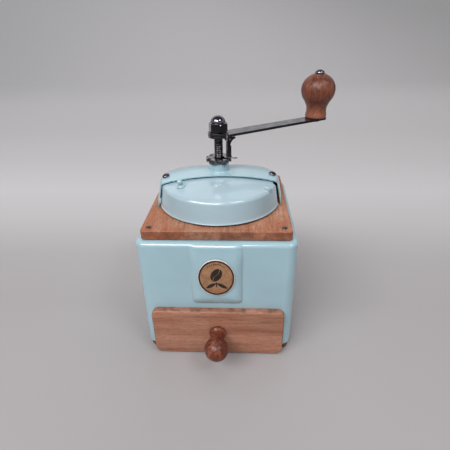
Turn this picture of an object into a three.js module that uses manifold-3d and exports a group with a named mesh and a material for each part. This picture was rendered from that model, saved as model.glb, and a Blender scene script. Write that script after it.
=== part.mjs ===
// Box coffee mill with a hand crank: a pressed steel body between two wooden boards, a domed
// hopper with a lid that swings out, conical burrs on a vertical shaft, and a drawer for the grounds.
// Millimetres, +Z up, the drawer to the front (-Y). The origin is on the surface that the mill
// stands on, under the axis of the shaft.
import * as THREE from 'three';
import { mergeVertices } from 'three/addons/utils/BufferGeometryUtils.js';
import Module from 'manifold-3d';

const wasm = await Module();
wasm.setup();

// ---------------------------------------------------------------- driving dimensions

// Clearances
const seat = 0.25;          // between a piece and the face it rests on
const loose = 0.3;          // round a shank in its hole, and between pieces that are joined
const running = 0.15;       // radial, between a turning part and its bore
const sliding = 0.6;        // at each side of the drawer

// Pressed steel body
const bodyWidth = 120;
const bodyCornerR = 8;
const bodySheet = 1.2;
const bodyBottomZ = 7;
const bodyTopZ = 105;
const rimR = 3.5;           // the rounding where the wall turns in under the top board
const rimWidth = 14;        // how far the rim reaches inwards
const panelWidth = 40;      // raised panel behind the badge
const panelBottomZ = 50;
const panelBelowTop = 1.2;
const panelProud = 3;
const panelCornerR = 5;
const panelEdgeR = 2;

// Wooden boards
const topBoardInset = 4.6;  // of each edge from the body's side
const topBoardThick = 7.45;
const topBoardCornerR = 3;
const topBoardEase = 0.8;
const baseThick = 12;
const baseCornerR = 6;
const baseChamfer = 1.5;

// Badge
const badgeWidth = 27.6;
const badgeHeight = 32.5;
const badgeThick = 1.2;
const badgeZ = 78;

// Hopper bowl, hung in the hole of the top board
const bowlR = 40.7;
const bowlSheet = 1;
const bowlFlangeR = 47.5;
const bowlStraight = 9;     // upright part of the wall below the flange
const throatR = 18.5;
const bowlDepth = 27.95;    // from the flange's underside to the throat

// Domed cover over the back of the hopper: crown arc, shoulder arc and a wall that flares to
// the foot; behind the shaft the profile gives way to one round arc
const coverTurn = 3.2;      // degrees that the cover, bridge and lid are turned from square
const coverRise = 26.4;     // from the cover's foot to its crown
const crownR = 192;
const coverSheet = 1;
const coverShoulderR = 4.8;
const coverFootR = 52;
const coverFlare = 0.184;   // how much the wall spreads for each millimetre down
const coverFrontY = -13.2;
const coverRearR = 60;      // of the arc that is the profile right behind
const earAngles = [60, 120];
const earR = 4.2;
const earReach = 5;         // from the cover's foot to the middle of an ear
const neckR = 8;
const neckRise = 5.95;      // from the crown to the neck's top
const neckFillet = 1.4;

// Pillars and screws that hold the cover up
const coverScrewX = 43.2;
const coverScrewY = -1.5;
const postR = 3;
const postTenonR = 1.2;
const postTenonLength = 8;

// Lid over the front of the hopper, swinging out about a pivot at its right end
const lidSheet = 1;
const coverDropToLid = 2.1; // from the cover's outer face to the lid's
const lidFootR = 49.6;
const lidFootUp = 1.15;     // of the lid's foot above the cover's
const lidFlare = 0.15;
const lidShoulderR = 3.5;
const lidBackY = -9;
const lidTrim = [42.5, -15.4];  // the right end of the lid stops short, behind this corner
const lidKnobPlace = [-29.4, -21.7];
const lidKnobR = 2.3;
const lidKnobHeight = 6.4;
const lidKnobBaseR = 3.4;
const lidKnobBaseThick = 0.7;
const lidKnobShankR = 1.3;
const pivotPlace = [36.6, -24.9];
const pivotPadR = 3.3;
const pivotPadThick = 2.4;
const pivotPostR = 2.1;
const pivotPostDrop = 11.05;    // of the post's top below the crown
const pivotRivetR = 3;
const pivotRivetProud = 0.9;
const pivotShankR = 1.1;
const pivotBite = 5;        // of the rivet in its post
const stopWidth = 2;        // the lid's catch tab, against the left front edge of the cover
const stopUp = 2.9;         // from the lid's foot to the tab
const stopHeight = 4;

// Shaft and its bearings
const shaftR = 3.5;
const shaftTailR = 2.6;
const shaftTailLength = 9.5;    // below the inner burr
const tubeR = 6;
const tubeLowerR = 7.4;
const tubeStepUp = 14;      // from the tube's flange to where it gets slimmer
const tubeFlangeR = 9.5;
const tubeFlangeThick = 2;
const bridgeThick = 2;
const bridgeWidth = 14;
const bridgeReach = 47;
const bridgeEyeR = 12;
const tubeBelowBridge = 3;
const thrustWasherR = 7.6;
const thrustWasherThick = 0.5;

// Burrs
const burrHeight = 17;
const burrDrop = 18.5;      // of the inner burr's bottom below the bowl's throat
const burrTopR = 8;
const burrBottomR = 14.3;
const burrFlutes = 8;
const burrFluteDepth = 1.6;
const burrGap = 0.7;
const burrTwist = 50;
const ringR = 22;
const ringFlangeR = 27.5;
const ringFlangeThick = 2.5;
const ringTopR = 16.8;
const ringTeeth = 12;
const ringToothDepth = 0.8;
const legR = 3.4;
const burrScrewCircleR = 24;
const burrScrewCount = 3;
const lowerPlateThick = 2;
const lowerPlateHubR = 7;
const lowerPlateArm = 7;
const burrNutThick = 3.2;
const burrNutFlats = 11;
const collarR = 6.2;
const collarThick = 2;

// Spring round the shaft
const springR = 5.2;
const springWireR = 0.7;
const springTurns = 5;
const springWasherR = 7.6;
const springWasherThick = 1;

// Adjuster disc
const discR = 10.2;
const discThick = 3;
const discNotches = 6;
const notchDepth = 3;
const notchWidth = 3.4;

// Crank
const crankAngle = 33;      // from +X towards the back, seen from above
const armRise = 22.7;       // from the neck's top to the arm's
const armThick = 2;
const armWidth = 12.6;
const armEyeR = 8;
const armTipBeyondKnob = 8;
const armTipCorner = 1.6;    // cut off each corner of the tip
const crankRadius = 100;   // from the shaft to the knob
const armWasherR = 8;
const armWasherThick = 1.6;
const nutFlats = 13;
const nutHexHeight = 6.8;
const nutDomeR = 5.7;
const nutDomeHeight = 5.2;
const nutTurn = -13;
const threadBite = 6;       // of the shaft in the acorn nut

// Latch that locks the adjuster disc to the crank
const latchThick = 2.6;
const latchPivotRadius = 8.9;
const latchPivotDrop = 3;   // below the arm
const latchPinR = 0.9;
const latchEyeR = 1.5;
const latchShank = 3;
const beakReach = 6.6;
const bracketSheet = 0.8;
const bracketLength = 4.2;
const latchSpringThick = 0.5;
const latchSpringReach = 8.2;   // of the curled end from the pivot's axis
const latchSpringBend = 4.5;    // height of the curl
const latchSpringDrop = 1;      // of the curled end below the disc

// Crank knob
const knobBallR = 14.5;
const knobBallRise = 13.2;  // from the ball's widest place to where it would close on top
const knobBallZ = 23.35;    // height of the widest place
const knobNeckR = 7.3;
const knobNeckUp = 8;
const knobBaseR = 8.55;
const knobPinR = 2.4;
const pinCapR = 4.1;
const pinCapHeight = 3.1;
const pinHeadR = 4;
const pinHeadThick = 1.2;

// Drawer
const drawerFrontInset = 7.5;   // of each edge from the body's side
const drawerFrontBottomZ = 1.2;
const drawerFrontTopZ = 46;
const drawerFrontThick = 5.5;
const drawerFrontCornerR = 5.5;
const drawerFrontEase = 1.4;
const drawerFrontOverlap = 7.5;   // of the front beyond each side of the drawer
const drawerHeight = 29.5;
const drawerRearRoom = 10.85;     // behind the drawer, inside the body
const drawerSideThick = 5;
const drawerBottomThick = 3;
const drawerBottomUp = 1.8;
const drawerBackDrop = 4;   // of the back below the sides
const runnerThick = 4;
const runnerHeight = 8;
const runnerLength = 100;

// Drawer knob
const pullZ = 25.5;
const pullBallR = 9.3;
const pullReach = 27;
const pullNeckR = 5;
const pullBaseR = 6.75;
const pullBaseLength = 3;
const pullNeckLength = 8.6;

// Screws: head radius, head height, shank radius, shank length
const boardScrew = { headR: 2, headHeight: 0.7, shankR: 1.1, length: 11 };
const boardScrewInset = 5.7;
const baseScrew = { headR: 2.6, headHeight: 1.4, shankR: 1.2, length: 11 };
const baseScrewZ = 9.6;
const baseScrewY = 36;
const coverScrew = { headR: 3.1, headHeight: 2.1, shankR: 1.3, length: 6 };
const earScrew = { headR: 2.8, headHeight: 1.6, shankR: 1.3, length: 7 };
const burrScrewHead = { headR: 3, headHeight: 1.8, shankR: 1.5 };
const pullScrew = { headR: 3.2, headHeight: 1.8, shankR: 1.6, length: 17 };

// ---------------------------------------------------------------- levels worked out from them

const topBoardBottomZ = bodyTopZ + seat;
const topBoardTopZ = topBoardBottomZ + topBoardThick;
const bowlFlangeZ = topBoardTopZ + seat;
const bridgeZ = bowlFlangeZ + bowlSheet + seat;
const tubeFlangeZ = bridgeZ + bridgeThick + seat;
const tubeBottomZ = bridgeZ - tubeBelowBridge;
const throatZ = bowlFlangeZ - bowlDepth;
const burrBottomZ = throatZ - burrDrop;
const shaftTailZ = burrBottomZ - shaftTailLength;
const coverFootZ = topBoardTopZ + seat;
const crownZ = coverFootZ + coverRise;
const neckTopZ = crownZ + neckRise;
const lidFootZ = coverFootZ + lidFootUp;
const pivotPostTopZ = crownZ - pivotPostDrop;
const stopBottomZ = lidFootZ + stopUp;
const stopTopZ = stopBottomZ + stopHeight;
const tubeTopZ = neckTopZ + seat;
const thrustWasherZ = tubeTopZ + seat;
const discZ = thrustWasherZ + thrustWasherThick + seat;
const armTopZ = neckTopZ + armRise;
const armBottomZ = armTopZ - armThick;
const washerZ = armTopZ + seat;
const nutZ = washerZ + armWasherThick + seat;
const shaftTopZ = nutZ + threadBite;
const ringTopZ = throatZ - loose;
const lowerPlateTopZ = burrBottomZ - seat - burrNutThick - loose;
const lowerPlateZ = lowerPlateTopZ - lowerPlateThick;
const collarZ = burrBottomZ + burrHeight + seat;
const springBottomZ = collarZ + collarThick + seat;
const springWasherZ = tubeBottomZ - seat - springWasherThick;
const springTopZ = springWasherZ - seat;
const latchPivotZ = armBottomZ - latchPivotDrop;
const knobHeight = knobBallZ + knobBallRise * Math.sqrt(1 - (pinCapR / knobBallR) ** 2);
const bodyHalf = bodyWidth / 2;
const topBoardWidth = bodyWidth - 2 * topBoardInset;
const drawerFrontWidth = bodyWidth - 2 * drawerFrontInset;
const drawerFrontBackY = -bodyHalf - loose;
const drawerZ = baseThick + loose;
const drawerStartY = drawerFrontBackY + seat;
const drawerEndY = bodyHalf - bodySheet - drawerRearRoom;
const drawerWidth = drawerFrontWidth - 2 * drawerFrontOverlap;

// ---------------------------------------------------------------- shapes and solids

const large = 40;           // sides of a big round, and of smaller ones
const medium = 24;
const small = 10;

const material = (color, roughness, metalness) =>
  new THREE.MeshStandardMaterial({ color, roughness, metalness });
const finishes = {
  paint: material(0xa9cbd2, 0.25, 0),
  beech: material(0xc07a4e, 0.55, 0),
  darkWood: material(0x6b4430, 0.6, 0),
  knobWood: material(0xa2573a, 0.35, 0),
  steel: material(0x8c8d92, 0.25, 1),
  darkSteel: material(0x3b3d44, 0.35, 1),
  castIron: material(0x4a4a4c, 0.6, 0.9),
  brass: material(0xb08a4a, 0.35, 0.9),
  tinplate: material(0x9fa3a6, 0.4, 1),
};

/** A closed geometry as a solid, whichever way its faces point. */
function solid(geometry) {
  const bare = geometry.clone();
  bare.deleteAttribute('normal');
  bare.deleteAttribute('uv');
  const merged = mergeVertices(bare);
  const vertProperties = new Float32Array(merged.attributes.position.array);
  const corners = Array.from(merged.index.array);
  const faces = [];
  for (let i = 0; i < corners.length; i += 3) {
    const [a, b, c] = corners.slice(i, i + 3);
    if (a !== b && b !== c && c !== a) faces.push([a, b, c]);
  }
  const make = (list) => new wasm.Manifold(
    new wasm.Mesh({ numProp: 3, vertProperties, triVerts: new Uint32Array(list.flat()) }));
  const first = make(faces);
  return first.volume() > 0 ? first : make(faces.map(([a, b, c]) => [a, c, b]));
}

const join = (first, ...others) => others.reduce((whole, next) => whole.add(next), first);
const cut = (first, ...tools) => tools.reduce((rest, tool) => rest.subtract(tool), first);

function box([x0, x1], [y0, y1], [z0, z1]) {
  const block = new THREE.BoxGeometry(x1 - x0, y1 - y0, z1 - z0);
  return solid(block.translate((x0 + x1) / 2, (y0 + y1) / 2, (z0 + z1) / 2));
}

/** An upright cylinder. */
function rod(radius, [z0, z1], [x, y] = [0, 0], sides = small) {
  const upright = new THREE.CylinderGeometry(radius, radius, z1 - z0, sides).rotateX(Math.PI / 2);
  return solid(upright.translate(x, y, (z0 + z1) / 2));
}

/** A cylinder along X or Y. */
function crossRod(axis, radius, [from, to], [across, z], sides = small) {
  const bar = new THREE.CylinderGeometry(radius, radius, to - from, sides);
  const middle = (from + to) / 2;
  return axis === 'x' ? solid(bar.rotateZ(Math.PI / 2).translate(middle, across, z))
    : solid(bar.translate(across, middle, z));
}

/** A profile of [radius, z] pairs turned about Z; it closes on itself. */
function turned(profile, sides = medium) {
  const points = [...profile, profile[0]].map(([r, z]) => new THREE.Vector2(r, z));
  return solid(new THREE.LatheGeometry(points, sides).rotateX(Math.PI / 2));
}

const ring = (outerR, innerR, [z0, z1], sides = medium) =>
  turned([[innerR, z0], [outerR, z0], [outerR, z1], [innerR, z1]], sides);

/** Points of an arc in the (radius, z) plane, from one angle to another, in radians. */
function arc([cx, cz], radius, from, to, steps) {
  return Array.from({ length: steps + 1 }, (_, i) => {
    const angle = from + ((to - from) * i) / steps;
    return [cx + radius * Math.cos(angle), cz + radius * Math.sin(angle)];
  });
}

function roundedRectangle(width, height, cornerR) {
  const x = width / 2;
  const y = height / 2;
  const outline = new THREE.Shape();
  outline.absarc(x - cornerR, y - cornerR, cornerR, 0, Math.PI / 2);
  outline.absarc(cornerR - x, y - cornerR, cornerR, Math.PI / 2, Math.PI);
  outline.absarc(cornerR - x, cornerR - y, cornerR, Math.PI, 1.5 * Math.PI);
  outline.absarc(x - cornerR, cornerR - y, cornerR, 1.5 * Math.PI, 2 * Math.PI);
  outline.closePath();
  return outline;
}

/** An outline extruded upwards; edge is the rounding of both rims, inside the outline. */
function extruded(outline, [z0, z1], edge = 0, curveSegments = 2, bevelSegments = 2) {
  const geometry = new THREE.ExtrudeGeometry(outline, {
    depth: z1 - z0 - 2 * edge, bevelEnabled: edge > 0, bevelThickness: edge, bevelSize: edge,
    bevelOffset: -edge, bevelSegments, curveSegments,
  });
  return solid(geometry.translate(0, 0, z0 + edge));
}

/** The same, standing up: the outline is in X and Z about a height, extruded towards -Y. */
function upright(outline, midZ, [backY, frontY], edge = 0, curveSegments = 2) {
  const depth = backY - frontY;
  const geometry = new THREE.ExtrudeGeometry(outline, {
    depth: depth - 2 * edge, bevelEnabled: edge > 0, bevelThickness: edge, bevelSize: edge,
    bevelOffset: -edge, bevelSegments: 2, curveSegments,
  });
  return solid(geometry.translate(0, 0, edge).rotateX(Math.PI / 2).translate(0, backY, midZ));
}

/** A slotted screw with a domed head: the head's seat is at z = 0, the shank points down. */
function screwSolid({ headR, headHeight, shankR, length }) {
  const crown = arc([0, headHeight * 0.25], 1, Math.PI / 2, 0, 2)
    .map(([r, z]) => [r * headR, headHeight * 0.25 + (z - headHeight * 0.25) * headHeight * 0.75]);
  crown[0][0] = 0;
  const body = turned([...crown, [headR, 0], [shankR, 0], [shankR, -length], [0, -length]], small);
  const slot = box([-headR, headR], [-headR / 9, headR / 9], [headHeight * 0.55, headHeight * 2]);
  return cut(body, slot);
}

const shankHole = ({ shankR }, [z0, z1], place) => rod(shankR + loose, [z0, z1], place);

/** Nearly flat cap: points of crown, shoulder and flared wall, from innerR out to the foot. */
function capOutline({ topR, shoulderR, footR, footZ, flare }, innerR) {
  const crownCentre = new THREE.Vector2(0, crownZ - crownR);
  const up = new THREE.Vector2(-flare, 1).normalize();
  const inward = new THREE.Vector2(-up.y, up.x);
  const line = new THREE.Vector2(footR, footZ).addScaledVector(inward, shoulderR);
  const reach = line.clone().sub(crownCentre);
  const along = reach.dot(up);
  const run = Math.sqrt(along ** 2 - reach.lengthSq() + (topR - shoulderR) ** 2) - along;
  const middle = line.addScaledVector(up, run);
  const meet = Math.atan2(middle.y - crownCentre.y, middle.x);
  const wallAngle = Math.atan2(-inward.y, -inward.x);
  const crown = arc([0, crownCentre.y], topR, Math.acos(innerR / topR), meet, 3);
  const shoulder = arc([middle.x, middle.y], shoulderR, meet, wallAngle, 4);
  return [...crown, ...shoulder.slice(1), [footR, footZ]];
}

/** A cap's own outline shrunk all round by a depth. */
const deeper = ({ topR, shoulderR, footR, ...rest }, depth) => ({
  topR: topR - depth, shoulderR: shoulderR - depth, footR: footR - depth, ...rest,
});
const coverCap = {
  topR: crownR, shoulderR: coverShoulderR, footR: coverFootR, footZ: coverFootZ, flare: coverFlare,
};
const lidCap = {
  topR: crownR - coverDropToLid, shoulderR: lidShoulderR, footR: lidFootR, footZ: lidFootZ,
  flare: lidFlare,
};

/** Height of the cover's outer face at a radius, and its slope there in radians. */
const coverHeight = (radius) => crownZ - crownR + Math.sqrt(crownR ** 2 - radius ** 2);
const coverSlope = (radius) => Math.asin(radius / crownR);
const lidHeight = (radius) => crownZ - crownR + Math.sqrt(lidCap.topR ** 2 - radius ** 2);

/** A fluted solid of revolution: levels of [z, radius], the flutes twisting as they rise. */
function fluted(levels, flutes, depth, twistDegrees) {
  const count = flutes * 4;
  const outline = new THREE.Shape(Array.from({ length: count }, (_, i) => {
    const angle = (i / count) * 2 * Math.PI;
    const reach = i % 4 < 2 ? 1 : 0;
    return new THREE.Vector2(Math.cos(angle), Math.sin(angle)).multiplyScalar(1 + reach);
  }));
  const geometry = new THREE.ExtrudeGeometry(outline, {
    depth: levels.length - 1, steps: levels.length - 1, bevelEnabled: false,
  });
  const place = geometry.attributes.position;
  const [bottomZ, topZ] = [levels[0][0], levels.at(-1)[0]];
  for (let i = 0; i < place.count; i += 1) {
    const [z, radius] = levels[Math.round(place.getZ(i))];
    const angle = Math.atan2(place.getY(i), place.getX(i))
      + THREE.MathUtils.degToRad((twistDegrees * (z - bottomZ)) / (topZ - bottomZ));
    const isRidge = Math.hypot(place.getX(i), place.getY(i)) > 1.5;
    const r = isRidge ? radius : radius - depth;
    place.setXYZ(i, r * Math.cos(angle), r * Math.sin(angle), z);
  }
  return solid(geometry);
}

// ---------------------------------------------------------------- the scene

const mill = new THREE.Group();

/** Adds one named piece to a group. */
function add(name, body, finish, group = mill) {
  const { vertProperties, triVerts } = body.getMesh();
  const geometry = new THREE.BufferGeometry();
  geometry.setAttribute('position', new THREE.BufferAttribute(vertProperties, 3));
  geometry.setIndex(new THREE.BufferAttribute(triVerts, 1));
  geometry.computeVertexNormals();
  const mesh = new THREE.Mesh(geometry, finish);
  mesh.name = name;
  group.add(mesh);
  return mesh;
}

/** Four corners of a square, by name. */
const corners = (reachX, reachY = reachX) => ({
  front_left: [-reachX, -reachY], front_right: [reachX, -reachY],
  rear_left: [-reachX, reachY], rear_right: [reachX, reachY],
});
const boardScrewPlaces = corners(topBoardWidth / 2 - boardScrewInset);

// ---------------------------------------------------------------- body and boards

/** The raised panel, grown or shrunk by an inset. */
function panelBlock(inset) {
  const height = bodyTopZ - panelBelowTop - panelBottomZ;
  const outline = roundedRectangle(panelWidth - 2 * inset, height - 2 * inset, panelCornerR - inset);
  const front = -bodyHalf - panelProud + inset;
  return upright(outline, panelBottomZ + height / 2, [front + panelProud * 3, front], panelEdgeR);
}

function bodyBlock(inset) {
  const outline = roundedRectangle(bodyWidth - 2 * inset, bodyWidth - 2 * inset, bodyCornerR - inset);
  return extruded(outline, [bodyBottomZ - bodyWidth / 4, bodyTopZ - inset], rimR - inset, 3, 3);
}

function drawerOpening() {
  const half = drawerWidth / 2 + sliding;
  return box([-half, half], [-bodyWidth, 0], [baseThick + loose / 2, drawerZ + drawerHeight + sliding]);
}

function bodyShell() {
  const mouth = bodyWidth - 2 * rimWidth;
  const rimOpening = extruded(roundedRectangle(mouth, mouth, bodyCornerR / 2),
    [bodyTopZ - rimWidth, bodyTopZ + rimWidth]);
  const below = box([-bodyWidth, bodyWidth], [-bodyWidth, bodyWidth], [-bodyWidth, bodyBottomZ]);
  const hollow = join(bodyBlock(bodySheet), panelBlock(bodySheet));
  const holes = Object.values(boardScrewPlaces)
    .map((place) => shankHole(boardScrew, [bodyTopZ - rimWidth, bodyTopZ + 1], place));
  const sideHoles = [-baseScrewY, baseScrewY].map((y) =>
    crossRod('x', baseScrew.shankR + loose, [-bodyWidth, bodyWidth], [y, baseScrewZ]));
  const whole = join(bodyBlock(0), panelBlock(0));
  return cut(whole, hollow, below, rimOpening, drawerOpening(), ...holes, ...sideHoles);
}

/** Holes for what is turned with the cover. */
const turnedHoles = (holes) => holes.map((hole) => hole.rotate([0, 0, coverTurn]));

/** Holes for the tenons of the cover's two pillars, and for that of the lid's pivot post. */
const postHoles = (span) => [-coverScrewX, coverScrewX].map((x) =>
  rod(postTenonR + loose, span, [x, coverScrewY]));
const pivotHole = (span) => rod(pivotShankR + loose, span, pivotPlace);

function topBoard() {
  const outline = roundedRectangle(topBoardWidth, topBoardWidth, topBoardCornerR);
  const board = extruded(outline, [topBoardBottomZ, topBoardTopZ], topBoardEase, 2, 1);
  const hole = rod(bowlR + loose, [0, bodyWidth * 2], [0, 0], large);
  const through = [0, bodyWidth * 2];
  const screwHoles = [
    ...Object.values(boardScrewPlaces).map((place) => shankHole(boardScrew, through, place)),
    ...turnedHoles(earPlaces().map((place) => shankHole(earScrew, through, place))),
    ...turnedHoles([...postHoles(through), pivotHole(through)]),
  ];
  return cut(board, hole, ...screwHoles);
}

function baseBoard() {
  const width = bodyWidth - 2 * bodySheet - 2 * loose;
  const outline = roundedRectangle(width, width, baseCornerR);
  const eased = extruded(outline, [0, baseThick * 3], baseChamfer, 2, 1);
  const board = eased.intersect(extruded(outline, [0, baseThick]));
  const depth = baseScrew.length + loose;
  const holes = Object.values(corners(1, baseScrewY)).map(([side, y]) => {
    const ends = [side * (bodyHalf - depth), side * bodyHalf].sort((a, b) => a - b);
    return crossRod('x', baseScrew.shankR + loose, ends, [y, baseScrewZ]);
  });
  return cut(board, ...holes);
}

add('body_shell', bodyShell(), finishes.paint);
add('top_board', topBoard(), finishes.beech);
add('base_board', baseBoard(), finishes.darkWood);

for (const [corner, [x, y]] of Object.entries(boardScrewPlaces)) {
  const screw = add(`board_screw_${corner}`, screwSolid(boardScrew), finishes.darkSteel);
  screw.position.set(x, y, topBoardTopZ + seat);
  screw.rotation.z = x * y;
}
for (const [corner, [x, y]] of Object.entries(corners(bodyHalf + seat, baseScrewY))) {
  const screw = add(`base_screw_${corner}`, screwSolid(baseScrew), finishes.steel);
  screw.position.set(x, y, baseScrewZ);
  screw.rotation.y = (Math.sign(x) * Math.PI) / 2;
}

function badge() {
  const outline = new THREE.Shape();
  outline.absellipse(0, 0, badgeWidth / 2, badgeHeight / 2, 0, 2 * Math.PI);
  const backY = -bodyHalf - panelProud - seat;
  return upright(outline, badgeZ, [backY, backY - badgeThick], badgeThick / 4, 12);
}
add('badge', badge(), finishes.brass);

// ---------------------------------------------------------------- hopper

function hopperBowl() {
  const bottomZ = bowlFlangeZ - bowlStraight;
  const flangeTopZ = bowlFlangeZ + bowlSheet;
  const innerR = bowlR - bowlSheet;
  const bowl = turned([
    [innerR, flangeTopZ], [innerR, bottomZ], [throatR, throatZ + bowlSheet], [throatR, throatZ],
    [ringFlangeR, throatZ], [ringFlangeR, throatZ + bowlSheet],
    [throatR + bowlSheet * 1.6, throatZ + bowlSheet],
    [bowlR, bottomZ - bowlSheet / 2], [bowlR, bowlFlangeZ],
    [bowlFlangeR, bowlFlangeZ], [bowlFlangeR, flangeTopZ],
  ], large);
  const screwHoles = burrScrewPlaces().map((place) =>
    shankHole(burrScrewHead, [throatZ - 1, throatZ + bowlSheet * 4], place));
  const through = [bowlFlangeZ - 1, flangeTopZ + 1];
  const tenonHoles = turnedHoles([...postHoles(through), pivotHole(through)]);
  return cut(bowl, ...screwHoles, ...tenonHoles);
}

function burrScrewPlaces() {
  return Array.from({ length: burrScrewCount }, (_, i) => {
    const angle = Math.PI / 2 + (i * 2 * Math.PI) / burrScrewCount;
    return [burrScrewCircleR * Math.cos(angle), burrScrewCircleR * Math.sin(angle)];
  });
}

function hopperBridge() {
  const strap = extruded(roundedRectangle(bridgeReach * 2, bridgeWidth, bridgeWidth / 3),
    [bridgeZ, bridgeZ + bridgeThick]);
  const eye = rod(bridgeEyeR, [bridgeZ, bridgeZ + bridgeThick], [0, 0], medium);
  const holes = postHoles([bridgeZ - 1, bridgeZ + bridgeThick + 1]);
  return cut(join(strap, eye), rod(tubeLowerR + loose, [0, bodyWidth * 2], [0, 0], medium), ...holes);
}

function bearingTube() {
  const bore = shaftR + running;
  return turned([
    [bore, tubeBottomZ], [tubeLowerR, tubeBottomZ], [tubeLowerR, tubeFlangeZ],
    [tubeFlangeR, tubeFlangeZ], [tubeFlangeR, tubeFlangeZ + tubeFlangeThick],
    [tubeLowerR, tubeFlangeZ + tubeFlangeThick],
    [tubeLowerR, tubeFlangeZ + tubeStepUp], [tubeR, tubeFlangeZ + tubeStepUp],
    [tubeR, tubeTopZ], [bore, tubeTopZ],
  ]);
}

add('hopper_bowl', hopperBowl(), finishes.tinplate);
add('bearing_tube', bearingTube(), finishes.steel);

// ---------------------------------------------------------------- cover

/** The middle of each ear, at a reach from the foot, which comes in a little towards the back. */
function earPlaces() {
  const rearFootR = Math.sqrt(coverRearR ** 2 - (coverRearR - crownZ + coverFootZ) ** 2);
  return earAngles.map((degrees) => {
    const angle = THREE.MathUtils.degToRad(degrees);
    const footR = THREE.MathUtils.lerp(coverFootR, rearFootR, Math.sin(angle) ** 2);
    return [(footR + earReach) * Math.cos(angle), (footR + earReach) * Math.sin(angle)];
  });
}

/** The one arc that takes the place of a cap's crown, shoulder and wall right behind. */
function rearOutline(depth, innerR, count) {
  const radius = coverRearR - depth;
  const middleZ = crownZ - coverRearR;
  return arc([0, middleZ], radius, Math.acos(innerR / radius),
    Math.asin((coverFootZ - middleZ) / radius), count - 1);
}

/** Outer and inner outlines of the cover: from the sides, and from behind. */
function coverOutlines() {
  const bore = tubeR + loose;
  const crownStart = neckR + neckFillet;
  const outer = capOutline(coverCap, crownStart);
  const inner = capOutline(deeper(coverCap, coverSheet), bore);
  const filletZ = coverHeight(crownStart) + neckFillet;
  const fillet = arc([crownStart, filletZ], neckFillet, Math.PI, 1.5 * Math.PI, 2).slice(0, -1);
  const neck = [[bore, neckTopZ], [neckR - coverSheet / 2, neckTopZ],
    [neckR, neckTopZ - coverSheet / 2], ...fillet];
  const rearOuter = rearOutline(0, crownStart, outer.length);
  const rearInner = rearOutline(coverSheet, bore, inner.length);
  return [[...neck, ...outer, ...inner.reverse()], [...neck, ...rearOuter, ...rearInner.reverse()]];
}

/** A lathe whose profile turns into another one from its sides to its back. */
function turnedInto(profile, rear, sides) {
  const [points, rearPoints] = [profile, rear].map((list) =>
    [...list, list[0]].map(([r, z]) => new THREE.Vector2(r, z)));
  const geometry = new THREE.LatheGeometry(points, sides).rotateX(Math.PI / 2);
  const place = geometry.attributes.position;
  for (let i = 0; i < place.count; i += 1) {
    const outward = new THREE.Vector2(place.getX(i), place.getY(i)).normalize();
    const behind = Math.max(0, outward.y) ** 2;
    const at = points[i % points.length].clone().lerp(rearPoints[i % points.length], behind);
    place.setXYZ(i, outward.x * at.x, outward.y * at.x, at.y);
  }
  return solid(geometry);
}

function earTab([x, y]) {
  const reach = Math.hypot(x, y);
  const outline = new THREE.Shape();
  outline.absarc(reach, 0, earR, -Math.PI / 2, Math.PI / 2);
  outline.lineTo(reach - earReach - coverSheet / 2, earR);
  outline.lineTo(reach - earReach - coverSheet / 2, -earR);
  outline.closePath();
  const tab = extruded(outline, [coverFootZ, coverFootZ + coverSheet], 0, 5);
  return tab.rotate([0, 0, THREE.MathUtils.radToDeg(Math.atan2(y, x))]);
}

function rearCover() {
  const span = [-bodyWidth, bodyWidth];
  const behind = box(span, [coverFrontY, bodyWidth], [0, bodyWidth * 2]);
  const shell = turnedInto(...coverOutlines(), large).intersect(behind);
  const holes = earPlaces().map((place) =>
    shankHole(earScrew, [coverFootZ - 1, coverFootZ + coverSheet + 1], place));
  return cut(join(shell, ...earPlaces().map(earTab)), ...holes, ...coverScrewHoles());
}

/** Puts something with its seat at z = 0 on the cover's outer face, square to it. */
function onCover(body, side, lift) {
  const tilt = side * coverSlope(coverScrewX);
  return body.rotate([0, THREE.MathUtils.radToDeg(tilt), 0]).translate([
    side * (coverScrewX + lift * Math.abs(Math.sin(tilt))), coverScrewY,
    coverHeight(coverScrewX) + lift * Math.cos(tilt),
  ]);
}

const coverScrewHoles = () => [-1, 1].map((side) =>
  onCover(rod(coverScrew.shankR + loose, [-coverScrew.length - loose, 2]), side, 0));

/** Pillar from the bridge up to the dome, with a tenon down into the top board. */
function coverPost(side) {
  const footZ = bridgeZ + bridgeThick + seat;
  const place = [side * coverScrewX, coverScrewY];
  const pillar = rod(postR, [footZ, crownZ], place, medium);
  const under = capOutline(deeper(coverCap, coverSheet + seat), 0);
  const room = turned([...under, [0, coverFootZ]], large);
  const tenon = rod(postTenonR, [footZ - postTenonLength, footZ + 1], place);
  return cut(join(pillar.intersect(room), tenon), ...coverScrewHoles());
}

const cover = new THREE.Group();
cover.rotation.z = THREE.MathUtils.degToRad(coverTurn);
mill.add(cover);
add('hopper_bridge', hopperBridge(), finishes.steel, cover);
add('rear_cover', rearCover(), finishes.paint, cover);
for (const [side, sign] of [['left', -1], ['right', 1]]) {
  add(`cover_post_${side}`, coverPost(sign), finishes.steel, cover);
  add(`cover_screw_${side}`, onCover(screwSolid(coverScrew), sign, seat), finishes.steel, cover);
}
for (const [side, [x, y]] of [['right', earPlaces()[0]], ['left', earPlaces()[1]]]) {
  const screw = add(`cover_foot_screw_${side}`, screwSolid(earScrew), finishes.steel, cover);
  screw.position.set(x, y, coverFootZ + coverSheet + seat);
}

// ---------------------------------------------------------------- lid and its pivot

const pivotR = Math.hypot(...pivotPlace);
const pivotPadTopZ = lidHeight(pivotR - pivotPadR);
const wallR = ({ footR, footZ, flare }, z) => footR - (z - footZ) * flare;

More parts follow.
